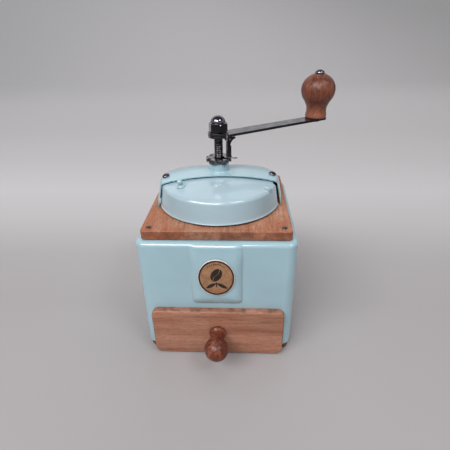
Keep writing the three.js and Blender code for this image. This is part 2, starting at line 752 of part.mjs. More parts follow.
/** The tab stands out of the lid's wall, in front of the cover's left edge. */
function lidStop() {
  const y = coverFrontY - loose;
  const outer = -Math.sqrt(wallR(coverCap, stopTopZ) ** 2 - y ** 2);
  const inner = -Math.sqrt((wallR(lidCap, stopBottomZ) - lidSheet / 2) ** 2 - y ** 2);
  return box([outer, inner], [y - stopWidth, y], [stopBottomZ, stopTopZ]);
}

function frontLid() {
  const outer = capOutline(lidCap, 1);
  const inner = capOutline(deeper(lidCap, lidSheet), 1);
  const front = box([-bodyWidth, bodyWidth], [-bodyWidth, lidBackY], [0, bodyWidth * 2]);
  const shell = turned([...outer, ...inner.reverse()], large).intersect(front);
  const [trimX, trimY] = lidTrim;
  const trim = box([trimX, bodyWidth], [trimY, bodyWidth], [0, bodyWidth * 2]);
  const pad = rod(pivotPadR, [pivotPadTopZ - pivotPadThick, pivotPadTopZ], pivotPlace, medium);
  const through = [lidFootZ, crownZ];
  return cut(join(cut(shell, trim), pad, lidStop()),
    rod(lidKnobShankR + loose, through, lidKnobPlace),
    rod(pivotShankR + loose, through, pivotPlace, 16));
}

function lidKnob() {
  const stemR = lidKnobR * 0.8;
  const ballZ = lidKnobHeight - lidKnobR;
  const top = arc([0, ballZ], lidKnobR, Math.PI / 2, -0.6, 5);
  top[0][0] = 0;
  const end = -lidSheet - loose * 3;
  return turned([
    ...top, [stemR, lidKnobBaseThick + 0.6], [stemR + 0.4, lidKnobBaseThick],
    [lidKnobBaseR, lidKnobBaseThick], [lidKnobBaseR, 0],
    [lidKnobShankR, 0], [lidKnobShankR, end], [0, end],
  ], 14);
}

/** The rivet that the lid swings about: a low dome over the lid, its shank down in the post. */
function pivotRivet() {
  const dome = arc([0, 0], 1, Math.PI / 2, 0, 3)
    .map(([r, z]) => [r * pivotRivetR, z * pivotRivetProud]);
  dome[0][0] = 0;
  const end = pivotPostTopZ - pivotBite - pivotPadTopZ - seat;
  return turned([...dome, [pivotShankR, 0], [pivotShankR, end], [0, end]], 16);
}

function pivotPost() {
  const footZ = bowlFlangeZ + bowlSheet + seat;
  const post = turned([
    [0, footZ - postTenonLength], [pivotShankR, footZ - postTenonLength], [pivotShankR, footZ],
    [pivotPostR, footZ], [pivotPostR, pivotPostTopZ], [0, pivotPostTopZ],
  ], 16);
  return cut(post, rod(pivotShankR + loose, [pivotPostTopZ - pivotBite - loose, crownZ]));
}

/** Seats a turned piece on the lid, square to the face under it. */
function seatOnLid(mesh, place, lift) {
  const radius = Math.hypot(...place);
  const lean = Math.asin(radius / lidCap.topR);
  const normal = new THREE.Vector3(place[0], place[1], 0).setLength(Math.sin(lean));
  normal.z = Math.cos(lean);
  mesh.quaternion.setFromUnitVectors(new THREE.Vector3(0, 0, 1), normal);
  mesh.position.set(...place, lidHeight(radius)).addScaledVector(normal, lift);
}

const lid = new THREE.Group();
cover.add(lid);
add('front_lid', frontLid(), finishes.paint, lid);
seatOnLid(add('lid_knob', lidKnob(), finishes.paint, lid), lidKnobPlace, seat);
add('lid_rivet', pivotRivet(), finishes.paint, cover)
  .position.set(...pivotPlace, pivotPadTopZ + seat);
add('lid_post', pivotPost(), finishes.steel, cover).position.set(...pivotPlace, 0);

// ---------------------------------------------------------------- burrs

/** Radius of the ring's ridges at a height: widest at the top, waisted just above the bottom. */
function ringLevels() {
  const waistZ = burrBottomZ + burrHeight * 0.2;
  return [
    [burrBottomZ - burrHeight * 0.2, burrBottomR + burrGap + 1.4],
    [burrBottomZ, burrBottomR + burrGap + 0.6], [waistZ, burrBottomR + burrGap - 0.6],
    [ringTopZ + burrHeight * 0.1, ringTopR],
  ];
}

function outerBurr() {
  const bottomZ = burrBottomZ - seat;
  const ringBody = rod(ringR, [bottomZ, ringTopZ], [0, 0], medium);
  const flange = rod(ringFlangeR, [ringTopZ - ringFlangeThick, ringTopZ], [0, 0], medium);
  const legs = burrScrewPlaces().map((place) =>
    rod(legR, [lowerPlateTopZ + seat, ringTopZ - 1], place));
  const holes = burrScrewPlaces().map((place) =>
    shankHole(burrScrewHead, [lowerPlateZ, ringTopZ + 1], place));
  const throat = fluted(
    ringLevels().map(([z, r]) => [z, r + ringToothDepth]), ringTeeth, ringToothDepth, -15);
  return cut(join(ringBody, flange, ...legs), throat, ...holes);
}

function innerBurr() {
  const waistZ = burrBottomZ + burrHeight * 0.2;
  const cone = fluted([
    [burrBottomZ, burrBottomR], [waistZ, burrBottomR - 1.2],
    [burrBottomZ + burrHeight * 0.6, (burrTopR + burrBottomR) / 2],
    [burrBottomZ + burrHeight, burrTopR],
  ], burrFlutes, burrFluteDepth, burrTwist);
  return cut(cone, rod(shaftR + loose, [0, bodyWidth * 2], [0, 0], medium));
}

function lowerBearing() {
  const arms = burrScrewPlaces().map(([x, y]) => {
    const length = burrScrewCircleR + legR;
    const outline = roundedRectangle(length, lowerPlateArm, lowerPlateArm / 2 - 0.1);
    const bar = new THREE.ExtrudeGeometry(outline,
      { depth: lowerPlateThick, bevelEnabled: false, curveSegments: 2 });
    return solid(bar.translate(length / 2, 0, lowerPlateZ).rotateZ(Math.atan2(y, x)));
  });
  const hub = rod(lowerPlateHubR, [lowerPlateZ - lowerPlateThick, lowerPlateTopZ], [0, 0], medium);
  const holes = burrScrewPlaces().map((place) =>
    shankHole(burrScrewHead, [lowerPlateZ - 1, lowerPlateTopZ + 1], place));
  return cut(join(hub, ...arms), rod(shaftTailR + running, [0, bodyWidth], [0, 0], medium), ...holes);
}

function hexNut(flats, thick, boreR) {
  const outline = new THREE.Shape(Array.from({ length: 6 }, (_, i) => {
    const angle = (i * Math.PI) / 3;
    return new THREE.Vector2(Math.cos(angle), Math.sin(angle)).multiplyScalar(flats / Math.sqrt(3));
  }));
  return cut(extruded(outline, [0, thick]), rod(boreR, [-1, thick + 1], [0, 0], medium));
}

add('outer_burr', outerBurr(), finishes.castIron);
add('lower_bearing', lowerBearing(), finishes.steel);
burrScrewPlaces().forEach(([x, y], i) => {
  const length = throatZ + bowlSheet + 0.5 - lowerPlateZ + seat;
  const screw = add(`burr_screw_${i + 1}`, screwSolid({ ...burrScrewHead, length }), finishes.steel);
  screw.position.set(x, y, lowerPlateZ - seat);
  screw.rotation.x = Math.PI;
});
add('spring_washer', ring(springWasherR, shaftR + running,
  [springWasherZ, springWasherZ + springWasherThick]), finishes.steel);
add('thrust_washer', ring(thrustWasherR, shaftR + running,
  [thrustWasherZ, thrustWasherZ + thrustWasherThick]), finishes.steel);

// ---------------------------------------------------------------- crank, all that turns with it

const crank = new THREE.Group();
crank.rotation.z = THREE.MathUtils.degToRad(crankAngle);
mill.add(crank);

function shaft() {
  const stepZ = lowerPlateTopZ + seat;
  return turned([
    [0, shaftTailZ], [shaftTailR, shaftTailZ], [shaftTailR, stepZ], [shaftR, stepZ],
    [shaftR, collarZ], [collarR, collarZ], [collarR, collarZ + collarThick],
    [shaftR, collarZ + collarThick], [shaftR, shaftTopZ - 0.6], [shaftR - 0.6, shaftTopZ],
    [0, shaftTopZ],
  ]);
}

class SpringCurve extends THREE.Curve {
  getPoint(t, target = new THREE.Vector3()) {
    const angle = t * springTurns * 2 * Math.PI;
    const z = springBottomZ + springWireR
      + t * (springTopZ - springBottomZ - 2 * springWireR);
    return target.set(springR * Math.cos(angle), springR * Math.sin(angle), z);
  }
}

function burrSpring() {
  const wire = new THREE.Shape();
  wire.absarc(0, 0, springWireR, 0, 2 * Math.PI);
  return solid(new THREE.ExtrudeGeometry(wire, {
    extrudePath: new SpringCurve(), steps: springTurns * 12, curveSegments: 3, bevelEnabled: false,
  }));
}

function adjusterDisc() {
  const span = [discZ, discZ + discThick];
  const disc = rod(discR, span, [0, 0], large);
  const notches = Array.from({ length: discNotches }, (_, i) => {
    const slot = new THREE.BoxGeometry(notchDepth * 2, notchWidth, discThick * 2);
    slot.translate(discR, 0, discZ + discThick / 2).rotateZ((i * 2 * Math.PI) / discNotches);
    return solid(slot);
  });
  return cut(disc, rod(shaftR + loose, [0, bodyWidth * 2], [0, 0], medium), ...notches);
}

function crankArm() {
  const tip = crankRadius + armTipBeyondKnob;
  const half = armWidth / 2;
  const blend = Math.asin(half / armEyeR);
  const outline = new THREE.Shape();
  outline.absarc(0, 0, armEyeR, blend, 2 * Math.PI - blend);
  outline.lineTo(tip - armTipCorner, -half);
  outline.lineTo(tip, armTipCorner - half);
  outline.lineTo(tip, half - armTipCorner);
  outline.lineTo(tip - armTipCorner, half);
  outline.closePath();
  const bar = extruded(outline, [armBottomZ, armTopZ], 0.3, 7, 1);
  const through = [armBottomZ - 1, armTopZ + 1];
  return cut(bar, rod(shaftR + loose, through, [0, 0], medium),
    rod(knobPinR + loose, through, [crankRadius, 0], small));
}

function acornNut() {
  const cornerR = nutFlats / Math.sqrt(3);
  const chamfer = cornerR - nutFlats / 2;
  const hex = hexNut(nutFlats, nutHexHeight, shaftR + loose);
  const cone = turned([
    [0, 0], [cornerR - chamfer / 2, 0], [cornerR, chamfer / 2], [cornerR, nutHexHeight - chamfer],
    [nutFlats / 2 - 0.3, nutHexHeight], [0, nutHexHeight],
  ], medium);
  const dome = arc([0, 0], 1, 0, Math.PI / 2, 5)
    .map(([r, z]) => [r * nutDomeR, nutHexHeight + z * nutDomeHeight]);
  dome.at(-1)[0] = 0;
  const cap = turned([[0, nutHexHeight - 2], [nutDomeR, nutHexHeight - 2], ...dome]);
  const bore = rod(shaftR + loose, [-1, threadBite + 1], [0, 0], medium);
  return cut(join(hex.intersect(cone), cap), bore);
}

function knobPin() {
  const shankTopZ = armTopZ + seat + knobHeight + seat;
  const cap = arc([0, 0], 1, 0, Math.PI / 2, 4)
    .map(([r, z]) => [r * pinCapR, shankTopZ + 0.4 + z * (pinCapHeight - 0.4)]);
  cap.at(-1)[0] = 0;
  const headZ = armBottomZ - seat;
  const pin = turned([
    [0, headZ - pinHeadThick], [pinHeadR * 0.8, headZ - pinHeadThick], [pinHeadR, headZ - pinHeadThick / 2],
    [pinHeadR, headZ], [knobPinR, headZ], [knobPinR, shankTopZ], [pinCapR, shankTopZ], ...cap,
  ], 16);
  return pin.translate([crankRadius, 0, 0]);
}

add('shaft', shaft(), finishes.steel, crank);
const burrNut = add('burr_nut', hexNut(burrNutFlats, burrNutThick, shaftR + loose),
  finishes.steel, crank);
burrNut.position.z = burrBottomZ - seat - burrNutThick;
add('inner_burr', innerBurr(), finishes.castIron, crank);
add('burr_spring', burrSpring(), finishes.steel, crank);
add('adjuster_disc', adjusterDisc(), finishes.steel, crank);
add('crank_arm', crankArm(), finishes.steel, crank);
add('crank_washer', ring(armWasherR, shaftR + loose, [washerZ, washerZ + armWasherThick]),
  finishes.darkSteel, crank);
const nut = add('acorn_nut', acornNut(), finishes.darkSteel, crank);
nut.position.z = nutZ;
nut.rotation.z = THREE.MathUtils.degToRad(nutTurn - crankAngle);
add('knob_pin', knobPin(), finishes.steel, crank);

// ---------------------------------------------------------------- latch

/** An outline in (distance from the shaft, z), extruded across the arm about its middle. */
function acrossArm(outline, thick, curveSegments = 6) {
  const plate = new THREE.ExtrudeGeometry(outline,
    { depth: thick, bevelEnabled: false, curveSegments });
  return solid(plate.rotateX(Math.PI / 2).translate(0, thick / 2, 0));
}

/** Hanger with two cheeks under the arm, open towards the disc. */
function latchBracket() {
  const from = latchPivotRadius - bracketLength / 2;
  const to = latchPivotRadius + bracketLength / 2;
  const topZ = armBottomZ - seat;
  const lowZ = latchPivotZ - latchEyeR;
  const half = latchThick / 2 + loose;
  const block = box([from, to], [-half - bracketSheet, half + bracketSheet], [lowZ, topZ]);
  const gap = box([from - 1, to + 1], [-half, half], [lowZ - 1, topZ - bracketSheet]);
  const pinHole = crossRod('y', latchPinR + running, [-bodyHalf, bodyHalf],
    [latchPivotRadius, latchPivotZ], 12);
  return cut(block, gap, pinHole);
}

function latchPlate() {
  const pivot = latchPivotRadius;
  const inner = pivot - latchShank / 2;
  const outer = pivot + latchShank / 2;
  const notchRoot = discR - notchDepth + loose;
  const footZ = discZ - loose / 2;
  const ankleZ = discZ + discThick + 1.5;
  const outline = new THREE.Shape();
  outline.moveTo(notchRoot, footZ);
  outline.lineTo(outer, footZ);
  outline.lineTo(outer, latchPivotZ - 5);
  outline.quadraticCurveTo(outer + 0.3, latchPivotZ - 1.4, pivot + beakReach, latchPivotZ - 0.2);
  outline.lineTo(pivot + beakReach - 0.9, latchPivotZ + 0.9);
  outline.lineTo(pivot, latchPivotZ + latchEyeR);
  outline.absarc(pivot, latchPivotZ, latchEyeR, Math.PI / 2, Math.PI);
  outline.lineTo(inner, latchPivotZ - latchEyeR);
  outline.lineTo(inner, ankleZ);
  outline.lineTo(notchRoot, ankleZ - 1);
  outline.closePath();
  const pinHole = crossRod('y', latchPinR + running, [-bodyHalf, bodyHalf],
    [latchPivotRadius, latchPivotZ], 12);
  return cut(acrossArm(outline, latchThick), pinHole);
}

/** Leaf along the latch's outer edge, its free end curled outwards at the disc. */
function latchSpring() {
  const x = latchPivotRadius + latchShank / 2 + loose;
  const topZ = latchPivotZ - 6;
  const endZ = discZ - latchSpringDrop;
  const bendZ = endZ + latchSpringBend;
  const tailX = latchPivotRadius + latchSpringReach;
  const t = latchSpringThick;
  const outline = new THREE.Shape();
  outline.moveTo(x, topZ);
  outline.lineTo(x + t, topZ);
  outline.lineTo(x + t, bendZ);
  outline.quadraticCurveTo(x + t, endZ + t, x + latchSpringBend, endZ + t);
  outline.lineTo(tailX, endZ + t);
  outline.lineTo(tailX, endZ);
  outline.lineTo(x + latchSpringBend, endZ);
  outline.quadraticCurveTo(x, endZ, x, bendZ);
  outline.closePath();
  return acrossArm(outline, latchThick - 0.6, 4);
}

add('latch_bracket', latchBracket(), finishes.darkSteel, crank);
add('latch_pin', crossRod('y', latchPinR,
  [-latchThick / 2 - loose - bracketSheet - 0.5, latchThick / 2 + loose + bracketSheet + 0.5],
  [latchPivotRadius, latchPivotZ], 12), finishes.steel, crank);
const latch = new THREE.Group();
crank.add(latch);
add('latch', latchPlate(), finishes.darkSteel, latch);
add('latch_spring', latchSpring(), finishes.darkSteel, latch);

// ---------------------------------------------------------------- crank knob

function crankKnob() {
  const boreR = knobPinR + running;
  const topAngle = Math.acos(pinCapR / knobBallR);
  const upper = arc([0, 0], 1, topAngle, 0, 4)
    .map(([r, z]) => [r * knobBallR, knobBallZ + z * knobBallRise]);
  const lower = arc([0, knobBallZ], knobBallR, 0, -0.75, 3);
  return turned([
    [boreR, knobHeight], ...upper, ...lower.slice(1),
    [knobNeckR + 0.9, knobNeckUp + 3], [knobNeckR, knobNeckUp],
    [knobNeckR + 0.1, knobNeckUp - 2.8], [knobBaseR, 3], [knobBaseR, 1], [knobBaseR - 0.7, 0],
    [boreR, 0],
  ]);
}

const knob = add('crank_knob', crankKnob(), finishes.knobWood, crank);
knob.position.set(crankRadius, 0, armTopZ + seat);

// ---------------------------------------------------------------- drawer

const drawer = new THREE.Group();
mill.add(drawer);

function drawerFront() {
  const height = drawerFrontTopZ - drawerFrontBottomZ;
  const midZ = drawerFrontBottomZ + height / 2;
  const outline = roundedRectangle(drawerFrontWidth, height, drawerFrontCornerR);
  const frontY = drawerFrontBackY - drawerFrontThick;
  const board = upright(outline, midZ, [drawerFrontBackY + drawerFrontThick, frontY],
    drawerFrontEase, 5);
  const behind = box([-bodyWidth, bodyWidth], [drawerFrontBackY, 0], [-bodyWidth, bodyWidth]);
  const hole = crossRod('y', pullScrew.shankR + loose, [-bodyWidth, 0], [0, pullZ]);
  return cut(board, behind, hole);
}

function drawerSide(sign) {
  const outer = drawerWidth / 2;
  const faces = [sign * (outer - drawerSideThick), sign * outer].sort((a, b) => a - b);
  return box(faces, [drawerStartY, drawerEndY], [drawerZ, drawerZ + drawerHeight]);
}

const drawerInnerHalf = drawerWidth / 2 - drawerSideThick - loose;
const drawerFloorZ = drawerZ + drawerBottomUp;
const drawerFloorTopZ = drawerFloorZ + drawerBottomThick;

function drawerKnob() {
  const ballY = pullReach - pullBallR;
  const ball = arc([0, ballY], pullBallR, -0.95, Math.PI / 2, 7);
  ball.at(-1)[0] = 0;
  const profile = [
    [0, 0], [pullBaseR, 0], [pullBaseR, pullBaseLength * 0.7], [pullBaseR - 0.8, pullBaseLength],
    [pullNeckR, pullBaseLength + 1], [pullNeckR + 0.2, pullNeckLength], ...ball,
  ];
  const body = turned(profile);
  const bore = rod(pullScrew.shankR + loose, [-1, pullScrew.length - drawerFrontThick],
    [0, 0], small);
  return cut(body, bore);
}

add('drawer_front', drawerFront(), finishes.beech, drawer);
add('drawer_side_left', drawerSide(-1), finishes.beech, drawer);
add('drawer_side_right', drawerSide(1), finishes.beech, drawer);
add('drawer_back', box([-drawerInnerHalf, drawerInnerHalf],
  [drawerEndY - drawerSideThick, drawerEndY],
  [drawerFloorTopZ + seat, drawerZ + drawerHeight - drawerBackDrop]), finishes.beech, drawer);
add('drawer_bottom', box([-drawerInnerHalf, drawerInnerHalf], [drawerStartY, drawerEndY],
  [drawerFloorZ, drawerFloorTopZ]), finishes.beech, drawer);
const pull = add('drawer_knob', drawerKnob(), finishes.knobWood, drawer);
pull.position.set(0, drawerFrontBackY - drawerFrontThick - seat, pullZ);
pull.rotation.x = Math.PI / 2;
const pullBolt = add('drawer_knob_screw', screwSolid(pullScrew), finishes.steel, drawer);
pullBolt.position.set(0, drawerFrontBackY + seat, pullZ);
pullBolt.rotation.x = -Math.PI / 2;

for (const [side, sign] of [['left', -1], ['right', 1]]) {
  const inner = drawerWidth / 2 + sliding;
  const faces = [sign * inner, sign * (inner + runnerThick)].sort((a, b) => a - b);
  const startY = -bodyHalf + bodySheet + sliding;
  add(`drawer_runner_${side}`, box(faces, [startY, startY + runnerLength],
    [baseThick + seat, baseThick + seat + runnerHeight]), finishes.darkWood);
}

export default mill;
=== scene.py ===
# %% [markdown]
# # A box coffee mill with a hand crank
# This file dresses a finished, measured model of the mill. The measured model fixes every size
# and every motion. What is made here is the surface that the eye meets: enamelled steel, beech,
# polished crank parts, turned knobs. Each piece is built as one would build it by hand, from a
# primitive, with edit-mode operators and modifiers that are applied at the end.

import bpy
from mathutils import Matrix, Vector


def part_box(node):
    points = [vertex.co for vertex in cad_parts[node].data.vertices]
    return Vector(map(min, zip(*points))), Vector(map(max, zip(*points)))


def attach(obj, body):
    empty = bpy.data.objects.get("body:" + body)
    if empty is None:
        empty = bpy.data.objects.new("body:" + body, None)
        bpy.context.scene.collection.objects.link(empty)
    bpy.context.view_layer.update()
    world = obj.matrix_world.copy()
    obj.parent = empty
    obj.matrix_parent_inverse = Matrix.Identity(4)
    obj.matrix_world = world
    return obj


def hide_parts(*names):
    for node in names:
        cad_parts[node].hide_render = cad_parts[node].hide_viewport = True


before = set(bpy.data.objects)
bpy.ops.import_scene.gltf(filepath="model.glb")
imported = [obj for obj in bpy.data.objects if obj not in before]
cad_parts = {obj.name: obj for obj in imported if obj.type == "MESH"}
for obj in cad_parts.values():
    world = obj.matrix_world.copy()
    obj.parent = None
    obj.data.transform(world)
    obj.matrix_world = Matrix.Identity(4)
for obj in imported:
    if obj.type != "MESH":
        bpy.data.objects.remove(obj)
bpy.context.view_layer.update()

# %% Other modules and the unit
import math

import bmesh
import bpy
from mathutils import Matrix, Vector

MM = 0.001
GAP = 0.25  # millimetres between pieces that touch, as the measured model keeps them
UP = Vector((0, 0, 1))

# %% [markdown]
# ## Working habits
# An operator acts on everything that is selected, so each piece starts with nothing selected.
# In edit mode, faces and edges are picked by where they are, as one would click on them.
# From here on, sizes are in millimetres unless a line says otherwise.

# %% Start, pick and apply
def clear_selection():
    """Leave edit mode and select nothing."""
    if bpy.context.object and bpy.context.object.mode != "OBJECT":
        bpy.ops.object.mode_set(mode="OBJECT")
    bpy.ops.object.select_all(action="DESELECT")


def begin(name):
    """Name the new primitive and apply its place, turn and scale."""
    piece = bpy.context.object
    piece.name = piece.data.name = name
    bpy.ops.object.transform_apply(location=True, rotation=True, scale=True)
    return piece


def take(*pieces):
    """Select these pieces and nothing else; the first is the active one."""
    clear_selection()
    for piece in pieces:
        piece.select_set(True)
    bpy.context.view_layer.objects.active = pieces[0]


def edit():
    bpy.ops.object.mode_set(mode="EDIT")


def stop_editing():
    bpy.ops.object.mode_set(mode="OBJECT")


def select_all():
    bpy.ops.mesh.select_all(action="SELECT")


def merge(slack):
    """In edit mode, select everything and make points that lie together one."""
    select_all()
    bpy.ops.mesh.remove_doubles(threshold=slack * MM)


def near(a, b):
    return abs(a - b) < 0.02 * MM


def runs_along(edge, axis):
    """True for an edge that is parallel to axis 0, 1 or 2."""
    first, last = (vertex.co for vertex in edge.verts)
    return all(near(first[i], last[i]) for i in range(3) if i != axis)


def lies_at(axis, level):
    """A test for edges that lie at a level of axis 0, 1 or 2."""
    return lambda edge: all(near(vertex.co[axis], level * MM) for vertex in edge.verts)


def pick(kind, wanted):
    """In edit mode, select the edges (EDGE) or faces (FACE) that pass a test."""
    bpy.ops.mesh.select_mode(type=kind)
    bpy.ops.mesh.select_all(action="DESELECT")
    mesh = bmesh.from_edit_mesh(bpy.context.object.data)
    for part in filter(wanted, mesh.edges if kind == "EDGE" else mesh.faces):
        part.select_set(True)
    bmesh.update_edit_mesh(bpy.context.object.data)


def bevel_edges(piece, wanted, width, segments):
    """Bevel the edges that pass a test."""
    take(piece)
    edit()
    pick("EDGE", wanted)
    bpy.ops.mesh.bevel(offset=width * MM, segments=segments, affect="EDGES")
    stop_editing()


def apply_modifier(piece, kind, **settings):
    """Add a modifier, set it up and apply it."""
    take(piece)
    modifier = piece.modifiers.new(kind.title(), kind)
    for key, value in settings.items():
        setattr(modifier, key, value)
    bpy.ops.object.modifier_apply(modifier=modifier.name)
    return piece


def boolean(piece, tool, operation):
    """Combine a piece with a tool object, which is then deleted."""
    apply_modifier(piece, "BOOLEAN", operation=operation, object=tool, solver="EXACT")
    bpy.data.objects.remove(tool)
    edit()
    merge(0.003)
    stop_editing()
    return piece


def cut(piece, tool):
    return boolean(piece, tool, "DIFFERENCE")


def fuse(piece, tool):
    return boolean(piece, tool, "UNION")


def soften(piece, width, segments=2, angle=40):
    """Round every sharp edge a little, as pressing, sanding or polishing does."""
    return apply_modifier(piece, "BEVEL", width=width * MM, segments=segments,
                          limit_method="ANGLE", angle_limit=math.radians(angle),
                          harden_normals=False)


def turn_round(piece, angle, axis="Z", centre=(0, 0, 0)):
    """Turn the mesh itself about an axis through a point in metres."""
    place = Matrix.Translation(centre)
    piece.data.transform(place @ Matrix.Rotation(angle, 4, axis) @ place.inverted())
    return piece


def move(piece, x, y, z):
    piece.data.transform(Matrix.Translation((x * MM, y * MM, z * MM)))
    return piece


def finish_nodes(finish, *nodes):
    """Give measured nodes that stay in sight their finish."""
    for node in nodes:
        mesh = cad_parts[node].data
        for index in range(len(mesh.materials)):
            mesh.materials[index] = finish.material
        if not mesh.materials:
            mesh.materials.append(finish.material)


def dress(piece, finish):
    """Give a piece one finish."""
    piece.data.materials.clear()
    piece.data.materials.append(finish.material)


def hand_over(piece, finish, body, slot, *nodes, smooth=35, flat=False):
    """Dress and shade a piece, let it ride on its body and stand for the measured nodes.

    With flat=True the broad faces stay flat and only the narrow rounded ones shade as curves.
    """
    dress(piece, finish)
    take(piece)
    bpy.ops.object.shade_smooth_by_angle(angle=math.radians(smooth))
    if flat:
        apply_modifier(piece, "WEIGHTED_NORMAL", weight=100, keep_sharp=True)
    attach(piece, body)
    if nodes:
        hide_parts(*nodes)
    print(piece.name, len(piece.data.polygons), "faces")

# %% [markdown]
# Most of the small metal and wooden pieces were made on a lathe. The same thing is done here by
# drawing a circle up ring by ring: extrude, then scale to the next radius. Spin would do as
# well, but rings keep the radii readable and leave no seam to close.

# %% A lathe made of extrude and resize
def arc(centre_r, centre_z, radius, start, end, steps, rise=None, least=0):
    """Points (radius, height) along an arc, angles in degrees from the outward direction.

    A rise makes it an oval of that half height. No point comes nearer to the axis than the
    least radius, so that a dome can start at its top.
    """
    angles = [math.radians(start + (end - start) * i / steps) for i in range(steps + 1)]
    return [(max(centre_r + radius * math.cos(a), least),
             centre_z + (rise or radius) * math.sin(a)) for a in angles]


def turned(name, profile, sides=64, closed=True):
    """A turned piece about Z, from (radius, height) points in order."""
    clear_selection()
    (r_now, z_now), *rest = profile
    bpy.ops.mesh.primitive_circle_add(vertices=sides, radius=r_now * MM,
                                      location=(0, 0, z_now * MM),
                                      fill_type="NGON" if closed else "NOTHING")
    piece = begin(name)
    edit()
    select_all()
    for r, z in rest:
        bpy.ops.mesh.extrude_region_move(
            TRANSFORM_OT_translate={"value": (0, 0, (z - z_now) * MM)})
        bpy.ops.transform.resize(value=(r / r_now, r / r_now, 1), center_override=(0, 0, z * MM))
        r_now, z_now = r, z
    merge(0.002)
    bpy.ops.mesh.normals_make_consistent(inside=False)
    stop_editing()
    return piece


def washer(name, outer, inner, low, high, ease):
    """A flat ring with eased edges."""
    profile = [(inner, low), (outer, low), (outer, high), (inner, high), (inner, low)]
    return soften(turned(name, profile, closed=False), ease)


def block(name, low, high):
    """A box between two corners."""
    clear_selection()
    bpy.ops.mesh.primitive_cube_add(size=1, location=[(a + b) / 2 * MM for a, b in zip(low, high)],
                                    scale=[(b - a) * MM for a, b in zip(low, high)])
    return begin(name)


def drum(name, radius, low, high, place=(0, 0), sides=64):
    """A plain upright cylinder."""
    clear_selection()
    bpy.ops.mesh.primitive_cylinder_add(
        vertices=sides, radius=radius * MM, depth=(high - low) * MM,
        location=(place[0] * MM, place[1] * MM, (low + high) / 2 * MM))
    return begin(name)


def drill(piece, radius, low, high, place=(0, 0), sides=24):
    """Drill an upright hole."""
    return cut(piece, drum("hole", radius, low, high, place, sides))


def refined(node, width):
    """A copy of a measured node with its doubles merged and its edges softened."""
    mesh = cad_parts[node].data.copy()
    piece = bpy.data.objects.new(node + "_finished", mesh)
    bpy.context.scene.collection.objects.link(piece)
    take(piece)
    edit()
    merge(0.005)
    bpy.ops.mesh.dissolve_limited(angle_limit=math.radians(1))
    stop_editing()
    return soften(piece, width)

# %% [markdown]
# ## Finishes
# Each finish is a node material on Object coordinates, which are metres on the mill itself, so a
# pattern has its real size and stays on the piece when the piece moves. Colours are written as
# the 0 to 255 values that one would read off a paint card.

# %% Material helpers
def shade(red, green, blue):
    """A paint-card colour as Blender's linear colour."""
    def linear(value):
        value /= 255
        return value / 12.92 if value <= 0.04045 else ((value + 0.055) / 1.055) ** 2.4
    return (linear(red), linear(green), linear(blue), 1)


def tinted(colour, red, green=None, blue=None):
    """A colour times one factor, or times one for each of red, green and blue."""
    factors = (red, green or red, blue or red)
    return tuple(min(1, part * factor) for part, factor in zip(colour, factors)) + (1,)


class Nodes:
    """Short ways to add and link the nodes of one tree."""

    def __init__(self, tree, coordinates):
        self.tree = tree
        self.place = self.put("TexCoord").outputs[coordinates]

    def put(self, kind, links=None, settings=None, **values):
        """Add a node with its settings and values, and link sockets to its inputs."""
        node = self.tree.nodes.new("ShaderNode" + kind)
        for key, value in (settings or {}).items():
            setattr(node, key, value)
        for key, value in values.items():
            node.inputs[key.replace("_", " ")].default_value = value
        for key, socket in (links or {}).items():
            self.tree.links.new(socket, node.inputs[key])
        return node

    def maths(self, operation, total, *others):
        """Combine values one after another."""
        for other in others:
            total = self.put("Math", {0: total, 1: other}, {"operation": operation}).outputs[0]
        return total

    def vector(self, operation, first, second=(0, 0, 0)):
        """Vector maths with a constant; the length of a vector is a plain value."""
        node = self.put("VectorMath", {0: first}, {"operation": operation})
        node.inputs[1].default_value = second
        return node.outputs["Value" if operation == "LENGTH" else "Vector"]

    def axes(self, socket):
        return self.put("SeparateXYZ", {0: socket}).outputs

    def span(self, value, start, end, low=0.0, high=1.0, kind="LINEAR"):
        """Spread what lies between start and end over low to high."""
        return self.put("MapRange", {"Value": value}, {"interpolation_type": kind}, From_Min=start,
                        From_Max=end, To_Min=low, To_Max=high).outputs[0]

    def rays(self):
        """The kinds of ray, and 1 for rays that show what is seen directly or in a reflection."""
        kinds = self.put("LightPath").outputs
        return kinds, self.maths("MAXIMUM", *(kinds[f"Is {kind} Ray"] for kind in (
            "Camera", "Glossy", "Transmission")))


